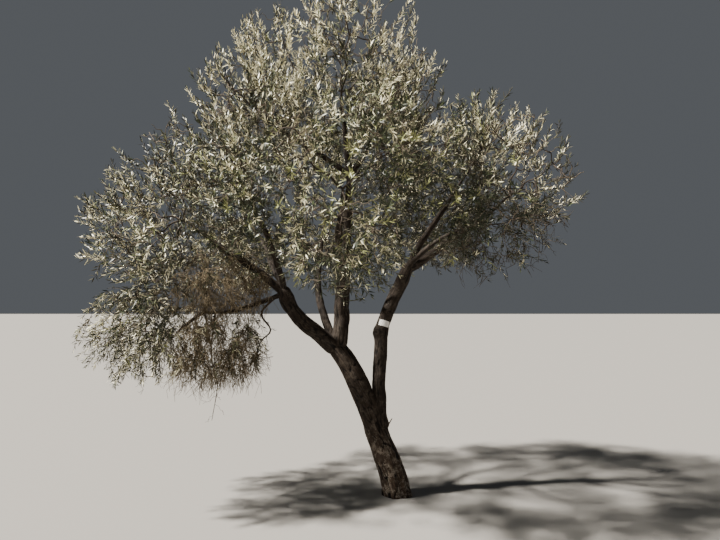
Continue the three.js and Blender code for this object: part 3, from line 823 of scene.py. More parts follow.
def marks_on(name, share, turn, length, radius):
    """How far knots stand out and clefts sink in: for each, a bell over its half lengths along and around,
    less a narrower bell by its dish."""
    total = np.zeros(np.broadcast(share, turn).shape)
    for mark in MARKS.get(name, ()):
        aside = (turn - mark.turn / 360 + 0.5) % 1.0 - 0.5
        off = ((share - mark.share) * length / mark.along) ** 2
        off = off + (aside * 2 * math.pi * radius / mark.around) ** 2
        total += mark.height * (np.exp(-off) - mark.dish * np.exp(-off * 5))
    return total


def under_label(share, turn, length, radius):
    """1 on the patch of the right bough that the label covers, and 0 a little outside it."""
    aside = np.abs((turn + 0.5) % 1.0 - 0.5) * 2 * math.pi * radius
    along = np.abs(share - LABEL_PLACE) * length
    within = 1 - smooth((along - LABEL_HALF[0]) / EDGE_FADES[0])
    return within * (1 - smooth((aside - LABEL_HALF[1] - LABEL_EDGE) / EDGE_FADES[1]))


def limb_radius(name, share, turn, height):
    """A limb's even radius, from one end's to the other's. The trunk's follows height, and a flare with
    ridges is added that dies out above the ground. Other limbs start a little thinner, inside the wood that
    they leave, swell where they come out of it, and thin out at the tip."""
    first, last = LIMBS[name].radii
    if name == "trunk":
        flare = FLARE_WIDTH * np.exp(-height / FLARE_HEIGHT)
        ridge = 1 + FLARE_RELIEF * np.cos(2 * math.pi * FLARE_RIDGES * (turn - FLARE_TURN))
        return mix(first, last, np.clip(height / HIGH_FORK[2], 0, 1)) + flare * ridge
    run = share * length_of(limb_line(name)) / first
    start = THINNER_START * (1 - smooth(run))
    swelling = SWELLING * np.exp(-(((run - SWELLING_PLACE) / SWELLING_LENGTH) ** 2))
    thinning = TIP_THINNING.get(name, USUAL_THINNING) * step(share, *TIP_STEP) if name in FANS else 0.0
    return mix(first, last, share) * (1 - start + swelling - thinning)


def limb_surface(name, bark):
    """The skin of a limb: rings square to its curve, level at the trunk's foot, whose radius is the limb's
    even one, with broad lumps, its marks and the bark's furrows, and a round end. Returns the rings' points,
    the bark's height and the places that its grain reads, which are drawn out along the limb."""
    length, widest = length_of(limb_line(name)), LIMBS[name].radii[0]
    facet = THICK_FACET if widest > NARROW_FACES_ABOVE else THIN_FACET
    sides = max(LEAST_SIDES, int(2 * math.pi * widest / facet))
    rings = int(length / RING_STEP)
    share = np.linspace(0, 1, rings)[:, None]
    turn = (np.arange(sides) / sides)[None]
    middle = at_shares(limb_line(name), share[:, 0])
    ahead = unit(np.gradient(middle, axis=0))
    level = 1 - smooth(middle[:, 2:] / LEVEL_BELOW) if name == "trunk" else 0.0
    normal = unit(mix(ahead, UP, level))
    front = unit(FRONT - normal * (normal @ FRONT)[:, None])
    right = np.cross(normal, front)

    even = limb_radius(name, share, turn, middle[:, 2:])
    seed = 100 * list(LIMBS).index(name) + 7
    run = share * length + np.zeros_like(turn)
    twisted = turn + TWIST.get(name, USUAL_TWIST) * run / (2 * math.pi)
    strip = bark.strip_width * (0.55 + 0.45 * widest / LIMBS["trunk"].radii[0])
    stretch = STRIP_STRETCH.get(name, USUAL_STRETCH)
    height = bark_height(run, twisted, 2 * math.pi * widest, strip, stretch, seed)
    broad = lattice_noise(run / (widest * 2.2), twisted, 4, seed + 11) - 0.5
    broad = broad + 0.5 * (lattice_noise(run / widest, twisted, 7, seed + 12) - 0.5)
    depth = bark.furrow_depth * np.minimum(even, FURROWED_RADIUS)
    radius = even * (1 + bark.lumps * broad) - depth * (1 - height)
    radius = radius + marks_on(name, share, turn, length, even)
    if name == "right_bough":
        radius = mix(radius, even * SMOOTH_BARK, under_label(share, turn, length, even))

    angle = 2 * math.pi * turn[..., None]
    spoke = front[:, None] * np.cos(angle) + right[:, None] * np.sin(angle)
    points = middle[:, None] + spoke * radius[..., None]
    lean = np.radians(END_ANGLES)[:, None, None]
    tip = middle[-1] + spoke[-1] * radius[-1][:, None] * np.cos(lean)
    tip = tip + normal[-1] * radius[-1].mean() * np.sin(lean)
    points = np.concatenate((points, tip))
    points[..., 2] = np.maximum(points[..., 2], 0.0)
    height = np.concatenate((height, np.repeat(height[-1:], len(lean), axis=0)))
    across = (radius * np.cos(angle[..., 0]), radius * np.sin(angle[..., 0]))
    grain = np.stack((*across, run / GRAIN_STRETCH), axis=-1)
    grain = np.concatenate((grain, np.repeat(grain[-1:], len(lean), axis=0)))
    return points, height, grain


def skin_faces(rings, sides):
    """Triangles of a closed tube whose rings come first and then its two poles, all turned outwards: two for
    each square between neighbouring rings, and one from each pole to each side of the ring beside it."""
    ring, side = np.meshgrid(np.arange(rings - 1), np.arange(sides), indexing="ij")
    following = (side + 1) % sides
    near, near_next = ring * sides + side, ring * sides + following
    far, far_next = near + sides, near_next + sides
    halves = (np.stack((near, near_next, far_next), -1), np.stack((near, far_next, far), -1))
    walls = np.concatenate([half.reshape(-1, 3) for half in halves])
    side, following, last = side[0], following[0], (rings - 1) * sides
    foot = np.stack((np.full(sides, rings * sides), following, side), -1)
    tip = np.stack((np.full(sides, rings * sides + 1), last + side, last + following), -1)
    return np.concatenate((walls, foot, tip))


def tubes(paths, radii, sides):
    """Many tubes of one make: rings of points round each path, square to it, whose directions start from the
    axis of the world that the path follows least, with a pole at both ends. Returns all points and
    triangles."""
    count, rings = paths.shape[:2]
    ahead = unit(np.gradient(paths, axis=1))
    least = np.eye(3)[np.abs(paths[:, -1] - paths[:, 0]).argmin(axis=1)][:, None]
    across = unit(least - ahead * (ahead * least).sum(-1, keepdims=True))
    over = np.cross(ahead, across)
    angle = (2 * math.pi * np.arange(sides) / sides)[:, None]
    spoke = across[:, :, None] * np.cos(angle) + over[:, :, None] * np.sin(angle)
    points = paths[:, :, None] + spoke * np.reshape(radii, (-1, rings, 1, 1))
    foot = paths[:, :1] - ahead[:, :1] * np.reshape(radii, (-1, rings, 1))[:, :1] * 0.5
    tip = paths[:, -1:] + ahead[:, -1:] * np.reshape(radii, (-1, rings, 1))[:, -1:] * 0.5
    points = np.concatenate((points.reshape(count, rings * sides, 3), foot, tip), axis=1)
    faces = skin_faces(rings, sides)[None] + (np.arange(count) * points.shape[1])[:, None, None]
    return points.reshape(-1, 3), faces.reshape(-1, 3)


def wooden(paths, wood):
    """Tubes of one kind of wood along paths, thinning evenly from the root to the tip."""
    radii = np.tile(np.linspace(wood.root, wood.tip, wood.rings), (len(paths), 1))
    return tubes(paths, radii, wood.sides)


def join(parts):
    """Points and triangles of several meshes as one: each mesh's triangles count on from the meshes before
    it."""
    parts = [part for part in parts if len(part[0])] or parts[:1]
    starts = np.cumsum([0] + [len(points) for points, _ in parts])
    points = np.concatenate([points for points, _ in parts])
    return points, np.concatenate([faces + start for (_, faces), start in zip(parts, starts)])


def make_piece(name, points, faces, materials, slots=None, rounded=True):
    """A mesh object of triangles at the origin, which rides on the tree's one body."""
    mesh = bpy.data.meshes.new(name)
    mesh.vertices.add(len(points))
    mesh.vertices.foreach_set("co", np.ascontiguousarray(points, np.float32).ravel())
    mesh.loops.add(faces.size)
    mesh.loops.foreach_set("vertex_index", np.ascontiguousarray(faces, np.int32).ravel())
    mesh.polygons.add(len(faces))
    mesh.polygons.foreach_set("loop_start", np.arange(0, faces.size, 3, dtype=np.int32))
    for material in materials:
        mesh.materials.append(material)
    if slots is not None:
        mesh.polygons.foreach_set("material_index", np.ascontiguousarray(slots, np.int32))
    mesh.update(calc_edges=True)
    mesh.validate()
    if rounded:
        mesh.shade_smooth()
    else:
        mesh.shade_flat()
    piece = bpy.data.objects.new(name, mesh)
    bpy.context.scene.collection.objects.link(piece)
    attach(piece, BODY)
    return piece


def give_attribute(piece, name, kind, values):
    """A value for each point of a piece, which its material reads."""
    field = "vector" if kind == "FLOAT_VECTOR" else "value"
    attribute = piece.data.attributes.new(name, kind, "POINT")
    attribute.data.foreach_set(field, np.ascontiguousarray(values, np.float32).ravel())


class Mass(NamedTuple):
    """One mass of foliage of the source, with its own space, its stem and the way it faces."""

    node: str
    limb: str
    seed: int
    centre: np.ndarray
    size: np.ndarray
    lift: float
    bare: bool
    stem: np.ndarray
    outward: np.ndarray


@functools.cache
def plan_masses():
    """The masses of every fan, by the source's rule."""
    masses = []
    for limb, fan in FANS.items():
        tip, axis = np.array(LIMBS[limb].end), unit(np.array(fan.axis, float))
        turns = np.radians(fan.turn) + 2 * math.pi * np.arange(fan.count) / fan.count
        arms = list(branch_off(axis, np.full(fan.count, math.radians(fan.spread)), turns) * fan.reach)
        if fan.crest:
            arms.append(axis * fan.crest)
        for i, arm in enumerate(arms):
            place = limb.rpartition("_")[0]
            masses.append(
                Mass(
                    node=f"{place}_{'bare_twigs' if fan.bare else 'foliage'}_{i + 1}",
                    limb=limb,
                    seed=len(masses) + 1,
                    centre=tip + arm,
                    size=np.array(fan.size),
                    lift=fan.lift,
                    bare=fan.bare,
                    stem=np.stack((tip, tip + arm * STEM_REACH)),
                    outward=unit(tip + arm - CROWN_HEART),
                )
            )
    return masses


@functools.cache
def plan_obstacles():
    """Points along limbs, bare twigs and stems, with their radii and names, that foliage keeps clear of."""
    runs = [(name, limb_line(name), limb.radii) for name, limb in LIMBS.items()]
    runs += [(name, spline_through(twig.through), twig.radii) for name, twig in BARE_TWIGS.items()]
    runs += [(mass.node, mass.stem, STEM_RADII) for mass in plan_masses()]
    points, radii, names = [], [], []
    for name, line, ends in runs:
        share = np.linspace(0, 1, math.ceil(length_of(line) / OBSTACLE_STEP) + 1)
        points.append(at_shares(line, share))
        radii.append(mix(*ends, share))
        names += [name] * len(share)
    return np.concatenate(points), np.concatenate(radii), np.array(names)


def in_space(points, mass, margin=SPACE_MARGIN, stretch=1.0):
    """True for each point in a mass's rounded space that is also nearer to its centre than to any
    other's."""
    away = points - mass.centre
    inside = np.linalg.norm(away / mass.size, axis=-1) < stretch
    others = np.array([other.centre for other in plan_masses() if other.node != mass.node])
    apart = others - mass.centre
    distance = np.linalg.norm(apart, axis=-1)
    return inside & (away @ (apart / distance[:, None]).T < distance / 2 - margin).all(axis=-1)


def is_clear(points, radius, own, wood_only=False, clearance=LEAF_CLEARANCE):
    """True for each point that no obstacle is nearer to than both radii and the clearance. A mass's own stem
    is left out, and so are all stems where only the limbs count."""
    obstacles, radii, names = plan_obstacles()
    counts = names != own
    if wood_only:
        counts &= ~np.isin(names, [mass.node for mass in plan_masses()])
    gap = np.linalg.norm(points[:, None] - obstacles[counts], axis=-1) - radii[counts]
    return (gap > radius + clearance).all(axis=-1)


def nearest(wood, points):
    """For each point, the point of the wood that lies nearest to it."""
    return wood[np.linalg.norm(points[:, None] - wood, axis=-1).argmin(axis=1)]


def grow_twigs(mass):
    """The first twigs of a mass, by the source's rule: each runs from the nearest wood to one of the points
    that the golden angle spreads over the mass's shape, drawn in until it fits."""
    twigs = []
    wood = at_shares(mass.stem, STEM_PLACES)
    count = BARE_MASS_TWIGS if mass.bare else LEAFY_TWIGS
    for i in range(count):
        facing = mix(1.0, BACKMOST, (i + 0.5) / count)
        way = branch_off(mass.outward, math.acos(facing), (i + mass.seed) * GOLDEN_ANGLE)
        reach = TWIG_REACH
        while reach > TWIG_REACH / 3:
            end = mass.centre + way * mass.size * reach
            reach *= DRAWN_IN
            root = nearest(wood, end[None])[0]
            bend = (root + end) / 2 - UP * mass.lift * TWIG_SAG * np.linalg.norm(end - root)
            tested = quadratic(root, bend, end, (0.3, 0.5, 0.7, 0.85, 1))[0]
            room = in_space(tested, mass, SPACE_MARGIN + TWIG_WIDTH)
            if not (room & is_clear(tested, TWIG_WIDTH, mass.node)).all():
                continue
            twigs.append((root, bend, end))
            wood = np.vstack((wood, quadratic(root, bend, end, (0.6,))[0]))
            break
    return [np.array(places) for places in zip(*twigs)]


def spread_ends(mass, count, reaches):
    """Ends for finer wood, by the same rule: the golden angle spreads them over the mass's shape, and a
    second even sequence deals how far out each lies, evenly through its room."""
    i = np.arange(count)
    facing = mix(1.0, -1.0 if mass.bare else FINE_BACKMOST, (i + 0.5) / count)
    way = branch_off(np.tile(mass.outward, (count, 1)), np.arccos(facing), (i + mass.seed) * GOLDEN_ANGLE)
    reach = mix(reaches[0] ** 3, reaches[1] ** 3, (i * EVEN_STEP) % 1.0) ** (1 / 3)
    return mass.centre + way * mass.size * reach[:, None]


def crooked(paths, amount, random):
    """Paths moved aside by a sine wave that dies out at both ends, as a share of their own length."""
    ends = paths[:, -1] - paths[:, 0]
    across, over = square_to(unit(ends))
    t = np.linspace(0, 1, paths.shape[1])
    phase = random.uniform(0, 2 * math.pi, (2, len(paths), 1))
    waves = random.uniform(1.0, 2.2, (len(paths), 1))
    size = amount * np.linalg.norm(ends, axis=-1)[:, None, None]
    swing = size * np.sin(math.pi * t)[:, None]
    aside = across[:, None] * np.sin(2 * math.pi * waves * t + phase[0])[..., None]
    aside = aside + over[:, None] * np.sin(2 * math.pi * waves * t + phase[1])[..., None]
    return paths + swing * aside


def lean_of_shoots(mass, ends, random):
    """The way each shoot points at its end: away from the middle of its mass and from the crown's heart, up
    or down by the mass's lift, and a little by chance."""
    radial = unit((ends - mass.centre) / mass.size)
    away, own, lifted = SHOOT_WAYS
    rise = lifted * mass.lift + (LIFTED_RISE if mass.lift > 0 else 0.0)
    chance = random.normal(0, SHOOT_SPREAD, ends.shape)
    return unit(away * radial + own * mass.outward + UP * rise + chance)


class Grown(NamedTuple):
    """The wood of a mass as meshes of three kinds, and its leafy shoots as curves."""

    thick: tuple
    fine: tuple
    dry: tuple
    root: np.ndarray
    bend: np.ndarray
    end: np.ndarray


def outwardness(points):
    """How far out in the crown points lie: 0 at its heart and about 1 at its rim."""
    return np.linalg.norm((points - CROWN_HEART) / CROWN_HALF, axis=-1)


def inner_stretch(points):
    """How far a mass's space reaches for its sprays: a share beyond its own size inside the crown, and just
    its size at the crown's rim and underside."""
    inner = 1 - step(outwardness(points), *INNER_STEP)
    return 1 + INNER_STRETCH * inner * step(points[..., 2], *STRETCH_STEP)


def bell(points, place):
    """1 in the middle of a place, falling off by the square of the distance over its half length each
    way."""
    off = (points - np.array(place.middle)) / np.array(place.half)
    return np.exp(-(off**2).sum(axis=-1))


def gap_level(ends, openness):
    """The level that the chance of a clump has to pass: low deep in the crown, high at its upper rim, low
    again at the skirt, where sprays hang close, and raised or lowered in the open places."""
    rim = step(outwardness(ends), *RIM_STEP) * step(ends[:, 2], *SKIRT_STEP)
    return mix(INNER_LEVEL, openness, rim) + sum(place.more * bell(ends, place) for place in OPEN_PLACES)


def dryness(points):
    """How dry the crown is at points, from 0 to 1: the sum of the dry places' bells."""
    return np.minimum(sum(place.dryness * bell(points, place) for place in DRY_PLACES), 1.0)


def dry_twigs(root, way_point, end, random):
    """Thin dead twigs that fork: crooked curves from root by a way point to the end, each with two more that
    leave it on their own way."""
    reach = np.linalg.norm(end - root, axis=-1, keepdims=True)
    bend = way_point + random.normal(0, 0.12, end.shape) * reach
    paths = crooked(quadratic(root, bend, end, DRY_WOOD.shares()), DRY_WOOD.crook, random)
    parts = [wooden(paths, DRY_WOOD)]
    for share in DRY_FORKS:
        knot = paths[:, round(share * (DRY_WOOD.rings - 1))]
        opening, turn = random.uniform(*FORK_OPENING, len(end)), random.uniform(0, 2 * math.pi, len(end))
        way = branch_off(unit(end - root), opening, turn)
        tip = knot + unit(way - UP * FORK_SAG) * reach * random.uniform(*FORK_LENGTHS, reach.shape)
        bend = (knot + tip) / 2 + random.normal(0, 0.10, tip.shape) * reach
        fork = quadratic(knot, bend, tip, DRY_FORK_WOOD.shares())
        parts.append(wooden(fork, DRY_FORK_WOOD))
    return join(parts)


def volume_of(mass):
    """The volume of the ellipsoid that a mass's half lengths make."""
    return 4 / 3 * math.pi * np.prod(mass.size)


def grow_stem(mass, random):
    """A mass's stem and first twigs, and the points of wood that finer wood can leave: theirs, and those of
    boughs that pass through the mass's space."""
    wood = [at_shares(mass.stem, np.linspace(0.1, 1, 8))]
    stem_line = crooked(at_shares(mass.stem, STEM_WOOD.shares())[None], STEM_WOOD.crook, random)
    thick = [wooden(stem_line, STEM_WOOD)]
    twigs = grow_twigs(mass)
    if twigs:
        paths = crooked(quadratic(*twigs, TWIG_WOOD.shares()), TWIG_WOOD.crook, random)
        thick.append(wooden(paths, TWIG_WOOD))
        wood.append(paths[:, 3:].reshape(-1, 3))
    limbs, _, names = plan_obstacles()
    passing = limbs[np.isin(names, [name for name in LIMBS if name != "trunk"])]
    wood.append(passing[in_space(passing, mass)])
    return join(thick), np.vstack(wood)


def grow_branchlets(mass, wood, foliage, random):
    """Branchlets from the nearest wood to ends that are spread over the mass, sagging or rising by its
    lift."""
    ends = spread_ends(mass, int(foliage.branchlets * volume_of(mass)), BRANCHLET_REACH)
    ends = ends[in_space(ends, mass, margin=0.02)]
    ends = ends[is_clear(ends, radius=0.004, own=mass.node, wood_only=True)]
    root = nearest(wood, ends)
    apart = np.linalg.norm(ends - root, axis=-1)[:, None]
    bend = (root + ends) / 2 - UP * mass.lift * TWIG_SAG * apart + random.normal(0, 0.08, ends.shape) * apart
    paths = quadratic(root, bend, ends, BRANCHLET_WOOD.shares())
    return crooked(paths, BRANCHLET_WOOD.crook, random)


def grow_dry_twigs(mass, wood, foliage, random):
    """Dry twigs from the nearest wood, in clumps, by chance where the crown is dry. Their tips hang."""
    denser = BARE_DENSER if mass.bare else 1.0
    ends = spread_ends(mass, int(foliage.dry_twigs * volume_of(mass) * denser), SHOOT_REACH)
    patchy = step(space_noise(ends, DRY_CLUMP, foliage.seed + 1), *DRY_STEP)
    ends = ends[random.random(len(ends)) < (dryness(ends) - LEAST_DRYNESS) * patchy]
    ends = ends[in_space(ends, mass)]
    root = nearest(wood, ends)
    reached = np.linalg.norm(root - ends, axis=-1) < FURTHEST_ROOT
    root, ends = root[reached], ends[reached]
    tips = ends - UP * random.uniform(0.0, DRY_SAG if mass.bare else LEAFY_SAG, (len(ends), 1))
    tips = np.where(tips[:, 2:] < LOWEST_TWIG, ends, tips)
    return dry_twigs(root, mix(root, ends, 0.75), tips, random)


def grow_shoots(mass, wood, foliage, random):
    """Roots, bends and ends of leafy shoots: the ends are spread over the mass and kept where a clump, its
    space and the wood leave room, the bends lie one leafy length back from them, and the roots on the
    nearest wood."""
    furthest = 1 + INNER_STRETCH
    tried = int(foliage.shoots * volume_of(mass) * furthest**3)
    ends = spread_ends(mass, tried, (SHOOT_REACH[0], furthest))
    ends = ends + random.normal(0, SHOOT_SCATTER, ends.shape)
    ends = ends[space_noise(ends, CLUMP_SIZE, foliage.seed) > gap_level(ends, foliage.openness)]
    ends = ends[in_space(ends, mass, stretch=inner_stretch(ends))]
    ends = ends[is_clear(ends, radius=0.002, own=mass.node, wood_only=True, clearance=0.02)]
    share = (BARE_LEAFLESS if mass.bare else LEAFY_LEAFLESS) * dryness(ends)
    leafless = np.minimum(MISSING_SHOOTS + share, MOST_LEAFLESS)
    ends = ends[random.random(len(ends)) > leafless]
    leafy = foliage.shoot_length * random.uniform(*SHOOT_LENGTHS, (len(ends), 1))
    bend = ends - lean_of_shoots(mass, ends, random) * leafy
    root = nearest(wood, bend)
    reached = np.linalg.norm(root - bend, axis=-1) < FURTHEST_ROOT
    return root[reached], bend[reached], ends[reached]


def grow_mass(mass, foliage):
    """Grows a mass: its stem and first twigs by the source's rule, then branchlets, dry twigs and shoots by
    the same rule, each from the nearest wood that came before. A bare mass's branchlets are dry."""
    random = np.random.default_rng(foliage.seed + mass.seed)
    thick, wood = grow_stem(mass, random)
    paths = grow_branchlets(mass, wood, foliage, random)
    branchlets = wooden(paths, BRANCHLET_WOOD)
    wood = np.vstack((wood, paths[:, 1:].reshape(-1, 3)))
    dead = grow_dry_twigs(mass, wood, foliage, random)
    root, bend, end = grow_shoots(mass, wood, foliage, random)
    shoots = wooden(quadratic(root, bend, end, SHOOT_WOOD.shares()), SHOOT_WOOD)
    if mass.bare:
        fine, dry = shoots, join([dead, branchlets])
    else:
        fine, dry = join([branchlets, shoots]), dead
    return Grown(thick, fine, dry, root, bend, end)


def leaf_places(mass, grown, foliage, random):
    """Where leaves grow on a mass's shoots and which way they lie. Pairs of opposite leaves stand at even
    distances back from each tip, each pair about a quarter turn on from the last, and open more the older
    they are. A leaf's upper side turns towards the tip of its shoot, and then partly to the light."""
    node = np.arange(NODES_ON_SHOOT)
    back = (node * foliage.internode)[None]
    tail = np.linalg.norm(grown.end - grown.bend, axis=-1)[:, None]
    lead = np.linalg.norm(grown.bend - grown.root, axis=-1)[:, None]
    t = 1 - back / (tail + np.sqrt(np.maximum(tail**2 + (lead - tail) * back, 1e-8)))
    leafed = (back < tail + LEAFED_RUN * lead) & (t > 0)
    t = np.clip(t, 0, 1)[..., None]
    root, bend, end = (place[:, None] for place in (grown.root, grown.bend, grown.end))
    place = root * (1 - t) ** 2 + bend * 2 * t * (1 - t) + end * t**2
    ahead = unit((bend - root) * (1 - t) + (end - bend) * t)

    shape = (len(grown.end), NODES_ON_SHOOT, 2)
    age = np.minimum(node / OPEN_AFTER, 1)[None, :, None]
    opening = np.radians(mix(*LEAF_OPENING, age**0.7)) + random.normal(0, math.radians(OPENING_SPREAD), shape)
    first = random.uniform(0, 2 * math.pi, (shape[0], 1, 1))
    turn = first + node[None, :, None] * math.pi / 2 + np.array((0, math.pi))
    turn = turn + random.normal(0, TURN_SPREAD, shape)
    ahead = np.broadcast_to(ahead[:, :, None], (*shape, 3))
    way = branch_off(ahead, opening, turn)
    way = unit(way + UP * (LEAF_RISE + LIFT_RISE * mass.lift) + random.normal(0, WAY_SPREAD, (*shape, 3)))
    upper = unit(ahead - way * (ahead * way).sum(-1, keepdims=True))
    light = UP * LIGHT_WAYS[0] + mass.outward * LIGHT_WAYS[1]
    upper = upper + light * random.uniform(0.0, MOST_TURNED, (*shape, 1))
    upper = upper + random.normal(0, SIDE_SPREAD, (*shape, 3))
    upper = unit(upper - way * (upper * way).sum(-1, keepdims=True))
    size = foliage.leaf_length * mix(YOUNG_LEAF, 1.0, np.minimum(node / GROWN_AFTER, 1))[None, :, None]
    size = size * random.uniform(*LEAF_SIZES, shape)
    start = np.broadcast_to(place[:, :, None], (*shape, 3))

    shoot = np.broadcast_to(np.arange(shape[0])[:, None, None], shape)
    tips = start + way * size[..., None]
    kept = np.broadcast_to(leafed[..., None], shape) & (random.random(shape) > MISSING_LEAVES)
    flat = tips.reshape(-1, 3)
    kept = kept & in_space(flat, mass, 0.0, inner_stretch(flat)).reshape(shape)
    start, way, upper, size, shoot = start[kept], way[kept], upper[kept], size[kept], shoot[kept]
    middle = start + way * size[:, None] * 0.6
    clear = is_clear(middle, radius=0.004, own=mass.node, wood_only=True, clearance=0.0)
    return start[clear], way[clear], upper[clear], size[clear], shoot[clear]


def leaf_meshes(start, way, upper, size, width, shape):
    """A closed leaf for each place. Its outline runs out along its way and across it, and sinks by the
    square of the distance from its root."""
    across = np.cross(upper, way)
    outline = np.array(shape.outline)
    along, aside = outline[:, :1], outline[:, 1:] * width
    depth = -LEAF_BEND * along**2
    size = size[:, None, None]
    points = start[:, None] + size * (way[:, None] * along + across[:, None] * aside + upper[:, None] * depth)
    faces = np.array(shape.above + shape.below)[None] + (np.arange(len(start)) * len(outline))[:, None, None]
    return points.reshape(-1, 3), faces.reshape(-1, 3)


def deal_tints(ends, shoot, seed, random):
    """A tint for the upper side and one for the underside of each leaf, by how much painted light its
    spray gets. Sprays get pale tints as painted light where the crown faces up and out and dark ones as
    painted shade in its depths and low on its right, and differ from clump to clump, as painted patches
    of light and shade, and a little from leaf to leaf. Here and there in the middle of the front a spray is
    yellow-green."""
    rise = np.clip((ends[:, 2] - RISE_RUN[0]) / RISE_RUN[1], 0, 1)
    low_right = step(ends[:, 0], *RIGHT_STEP) * (1 - step(ends[:, 2], *LOW_STEP))
    clump = space_noise(ends, TINT_CLUMP, seed) - 0.5
    light = LEAST_LIGHT + HIGH_LIGHT * rise + OUTER_LIGHT * outwardness(ends)
    light = light - LOW_RIGHT_SHADE * low_right + clump
    off = (ends[:, ::2] - YELLOW_PLACE) / YELLOW_HALF
    middle = np.exp(-(off**2).sum(axis=-1))
    yellow = random.random(len(ends)) < YELLOW_SHARE + YELLOW_MORE * middle
    light = light[shoot] + random.normal(0, LEAF_SPREAD, len(shoot))
    upper = np.searchsorted(TINT_LEVELS, light)
    upper = np.where(yellow[shoot] & (upper > 0), list(TINTS).index("yellow_green"), upper)
    under = np.searchsorted(UNDERSIDE_LEVELS, light)
    dull = list(UNDERSIDES).index("dull_underside")
    under = np.where(yellow[shoot], np.minimum(under, dull), under)
    return upper, len(TINTS) + under


def new_material(name):
    """A material with nodes, and its Principled shader."""
    material = bpy.data.materials.new(name)
    material.use_nodes = True
    return material, material.node_tree.nodes["Principled BSDF"]


def plain_material(name, colour, roughness, specular=0.3):
    """A finish that is the same all over, for leaves and fine twigs, whose colours are dealt out by
    spray."""
    material, shader = new_material(name)
    shader.inputs["Base Color"].default_value = (*colour, 1)
    shader.inputs["Roughness"].default_value = roughness
    shader.inputs["Specular IOR Level"].default_value = specular
    return material


def add_node(tree, kind, **values):
    """A node with its settings and its inputs' values, by name."""
    node = tree.nodes.new(kind)
    for key, value in values.items():
        if key in node.inputs:
            node.inputs[key].default_value = value
        else:
            setattr(node, key, value)
    return node


def noise_node(tree, vector, scale, detail, roughness=0.55):
    """The factor of a noise pattern on a vector."""
    node = add_node(tree, "ShaderNodeTexNoise", Scale=scale, Detail=detail, Roughness=roughness)
    tree.links.new(vector, node.inputs["Vector"])
    return node.outputs["Fac"]


def range_node(tree, value, low, high, to_low=0.0, to_high=1.0):
    """A value brought from one range to another and kept inside it."""
    node = tree.nodes.new("ShaderNodeMapRange")
    node.clamp = True
    for socket, number in (("From Min", low), ("From Max", high), ("To Min", to_low), ("To Max", to_high)):
        node.inputs[socket].default_value = number
    tree.links.new(value, node.inputs["Value"])
    return node.outputs["Result"]


def feed(tree, node, values):
    """Gives a node's inputs, by number, what they read: another node's output or a plain value."""
    for number, value in values.items():
        if isinstance(value, bpy.types.NodeSocket):
            tree.links.new(value, node.inputs[number])
        else:
            node.inputs[number].default_value = value


def blend_node(tree, factor, first, second, blend="MIX"):
    """Two colours blended by a factor."""
    node = add_node(tree, "ShaderNodeMix", data_type="RGBA", blend_type=blend)
    feed(tree, node, {0: factor, 6: first, 7: second})
    return node.outputs[2]


def math_node(tree, operation, first, second):
    """One sum of two values."""
    node = add_node(tree, "ShaderNodeMath", operation=operation)
    feed(tree, node, {0: first, 1: second})
    return node.outputs[0]


@functools.cache
def weathering_and_light_group():
    """The effect that every bark shares. From the bark's own height, its grain and the place on the tree it
    makes a colour that is dark in furrows, partly the bark's own colour and partly painted shade, different
    from strip to strip, streaked along the limb and flecked with lichen and painted dapples of light, a
    roughness and a height."""
    group = bpy.data.node_groups.new("weathered_bark_and_painted_light", "ShaderNodeTree")
    inputs = (
        ("Place", "NodeSocketVector"),
        ("Grain", "NodeSocketVector"),
        ("Relief", "NodeSocketFloat"),
        ("Ridge", "NodeSocketColor"),
        ("Furrow", "NodeSocketColor"),
        ("Lichen And Dapples", "NodeSocketColor"),
        ("Lichen And Dapple Amount", "NodeSocketFloat"),
    )
    for name, kind in inputs:
        group.interface.new_socket(name, in_out="INPUT", socket_type=kind)
    outputs = (("Color", "NodeSocketColor"), ("Roughness", "NodeSocketFloat"), ("Height", "NodeSocketFloat"))
    for name, kind in outputs:
        group.interface.new_socket(name, in_out="OUTPUT", socket_type=kind)
    given = group.nodes.new("NodeGroupInput").outputs
    result = group.nodes.new("NodeGroupOutput").inputs

    streaks = noise_node(group, given["Grain"], scale=260, detail=4)
    threads = noise_node(group, given["Grain"], scale=700, detail=3)
    strips = noise_node(group, given["Grain"], scale=75, detail=2)
    broad = noise_node(group, given["Place"], scale=7, detail=3)
    speckle = noise_node(group, given["Place"], scale=190, detail=3)
    # Dark in the furrows: partly the bark's own colour and partly painted shade
    raised = range_node(group, given["Relief"], 0.10, 0.72)
    wood = blend_node(group, raised, given["Furrow"], given["Ridge"])
    worn = math_node(group, "MULTIPLY", range_node(group, strips, 0.36, 0.64, to_high=0.55), raised)
    wood = blend_node(group, worn, wood, given["Furrow"])
    darker = range_node(group, streaks, 0.36, 0.62, to_high=0.55)
    streaked = blend_node(group, darker, wood, given["Furrow"])
    shade = range_node(group, broad, 0.35, 0.68, to_high=0.4)
    toned = blend_node(group, shade, streaked, given["Ridge"], "SOFT_LIGHT")
    # Pale patches on the ridges, partly lichen and partly painted dapples of light
    clouds = noise_node(group, given["Place"], scale=20, detail=5, roughness=0.7)
    patches = range_node(group, clouds, 0.47, 0.62)
    for other in (raised, range_node(group, speckle, 0.38, 0.56), given["Lichen And Dapple Amount"]):
        patches = math_node(group, "MULTIPLY", patches, other)
    group.links.new(blend_node(group, patches, toned, given["Lichen And Dapples"]), result["Color"])
    group.links.new(range_node(group, streaks, 0.3, 0.7, to_low=0.78, to_high=0.97), result["Roughness"])
    height = math_node(group, "MULTIPLY", streaks, 0.6)
    for finer, weight in ((threads, 0.35), (speckle, 0.2)):
        height = math_node(group, "ADD", height, math_node(group, "MULTIPLY", finer, weight))
    group.links.new(height, result["Height"])
    return group


def times(colour, gain):
    """An opaque colour with each channel made so many times stronger."""
    return (*(channel * gain for channel in colour), 1)


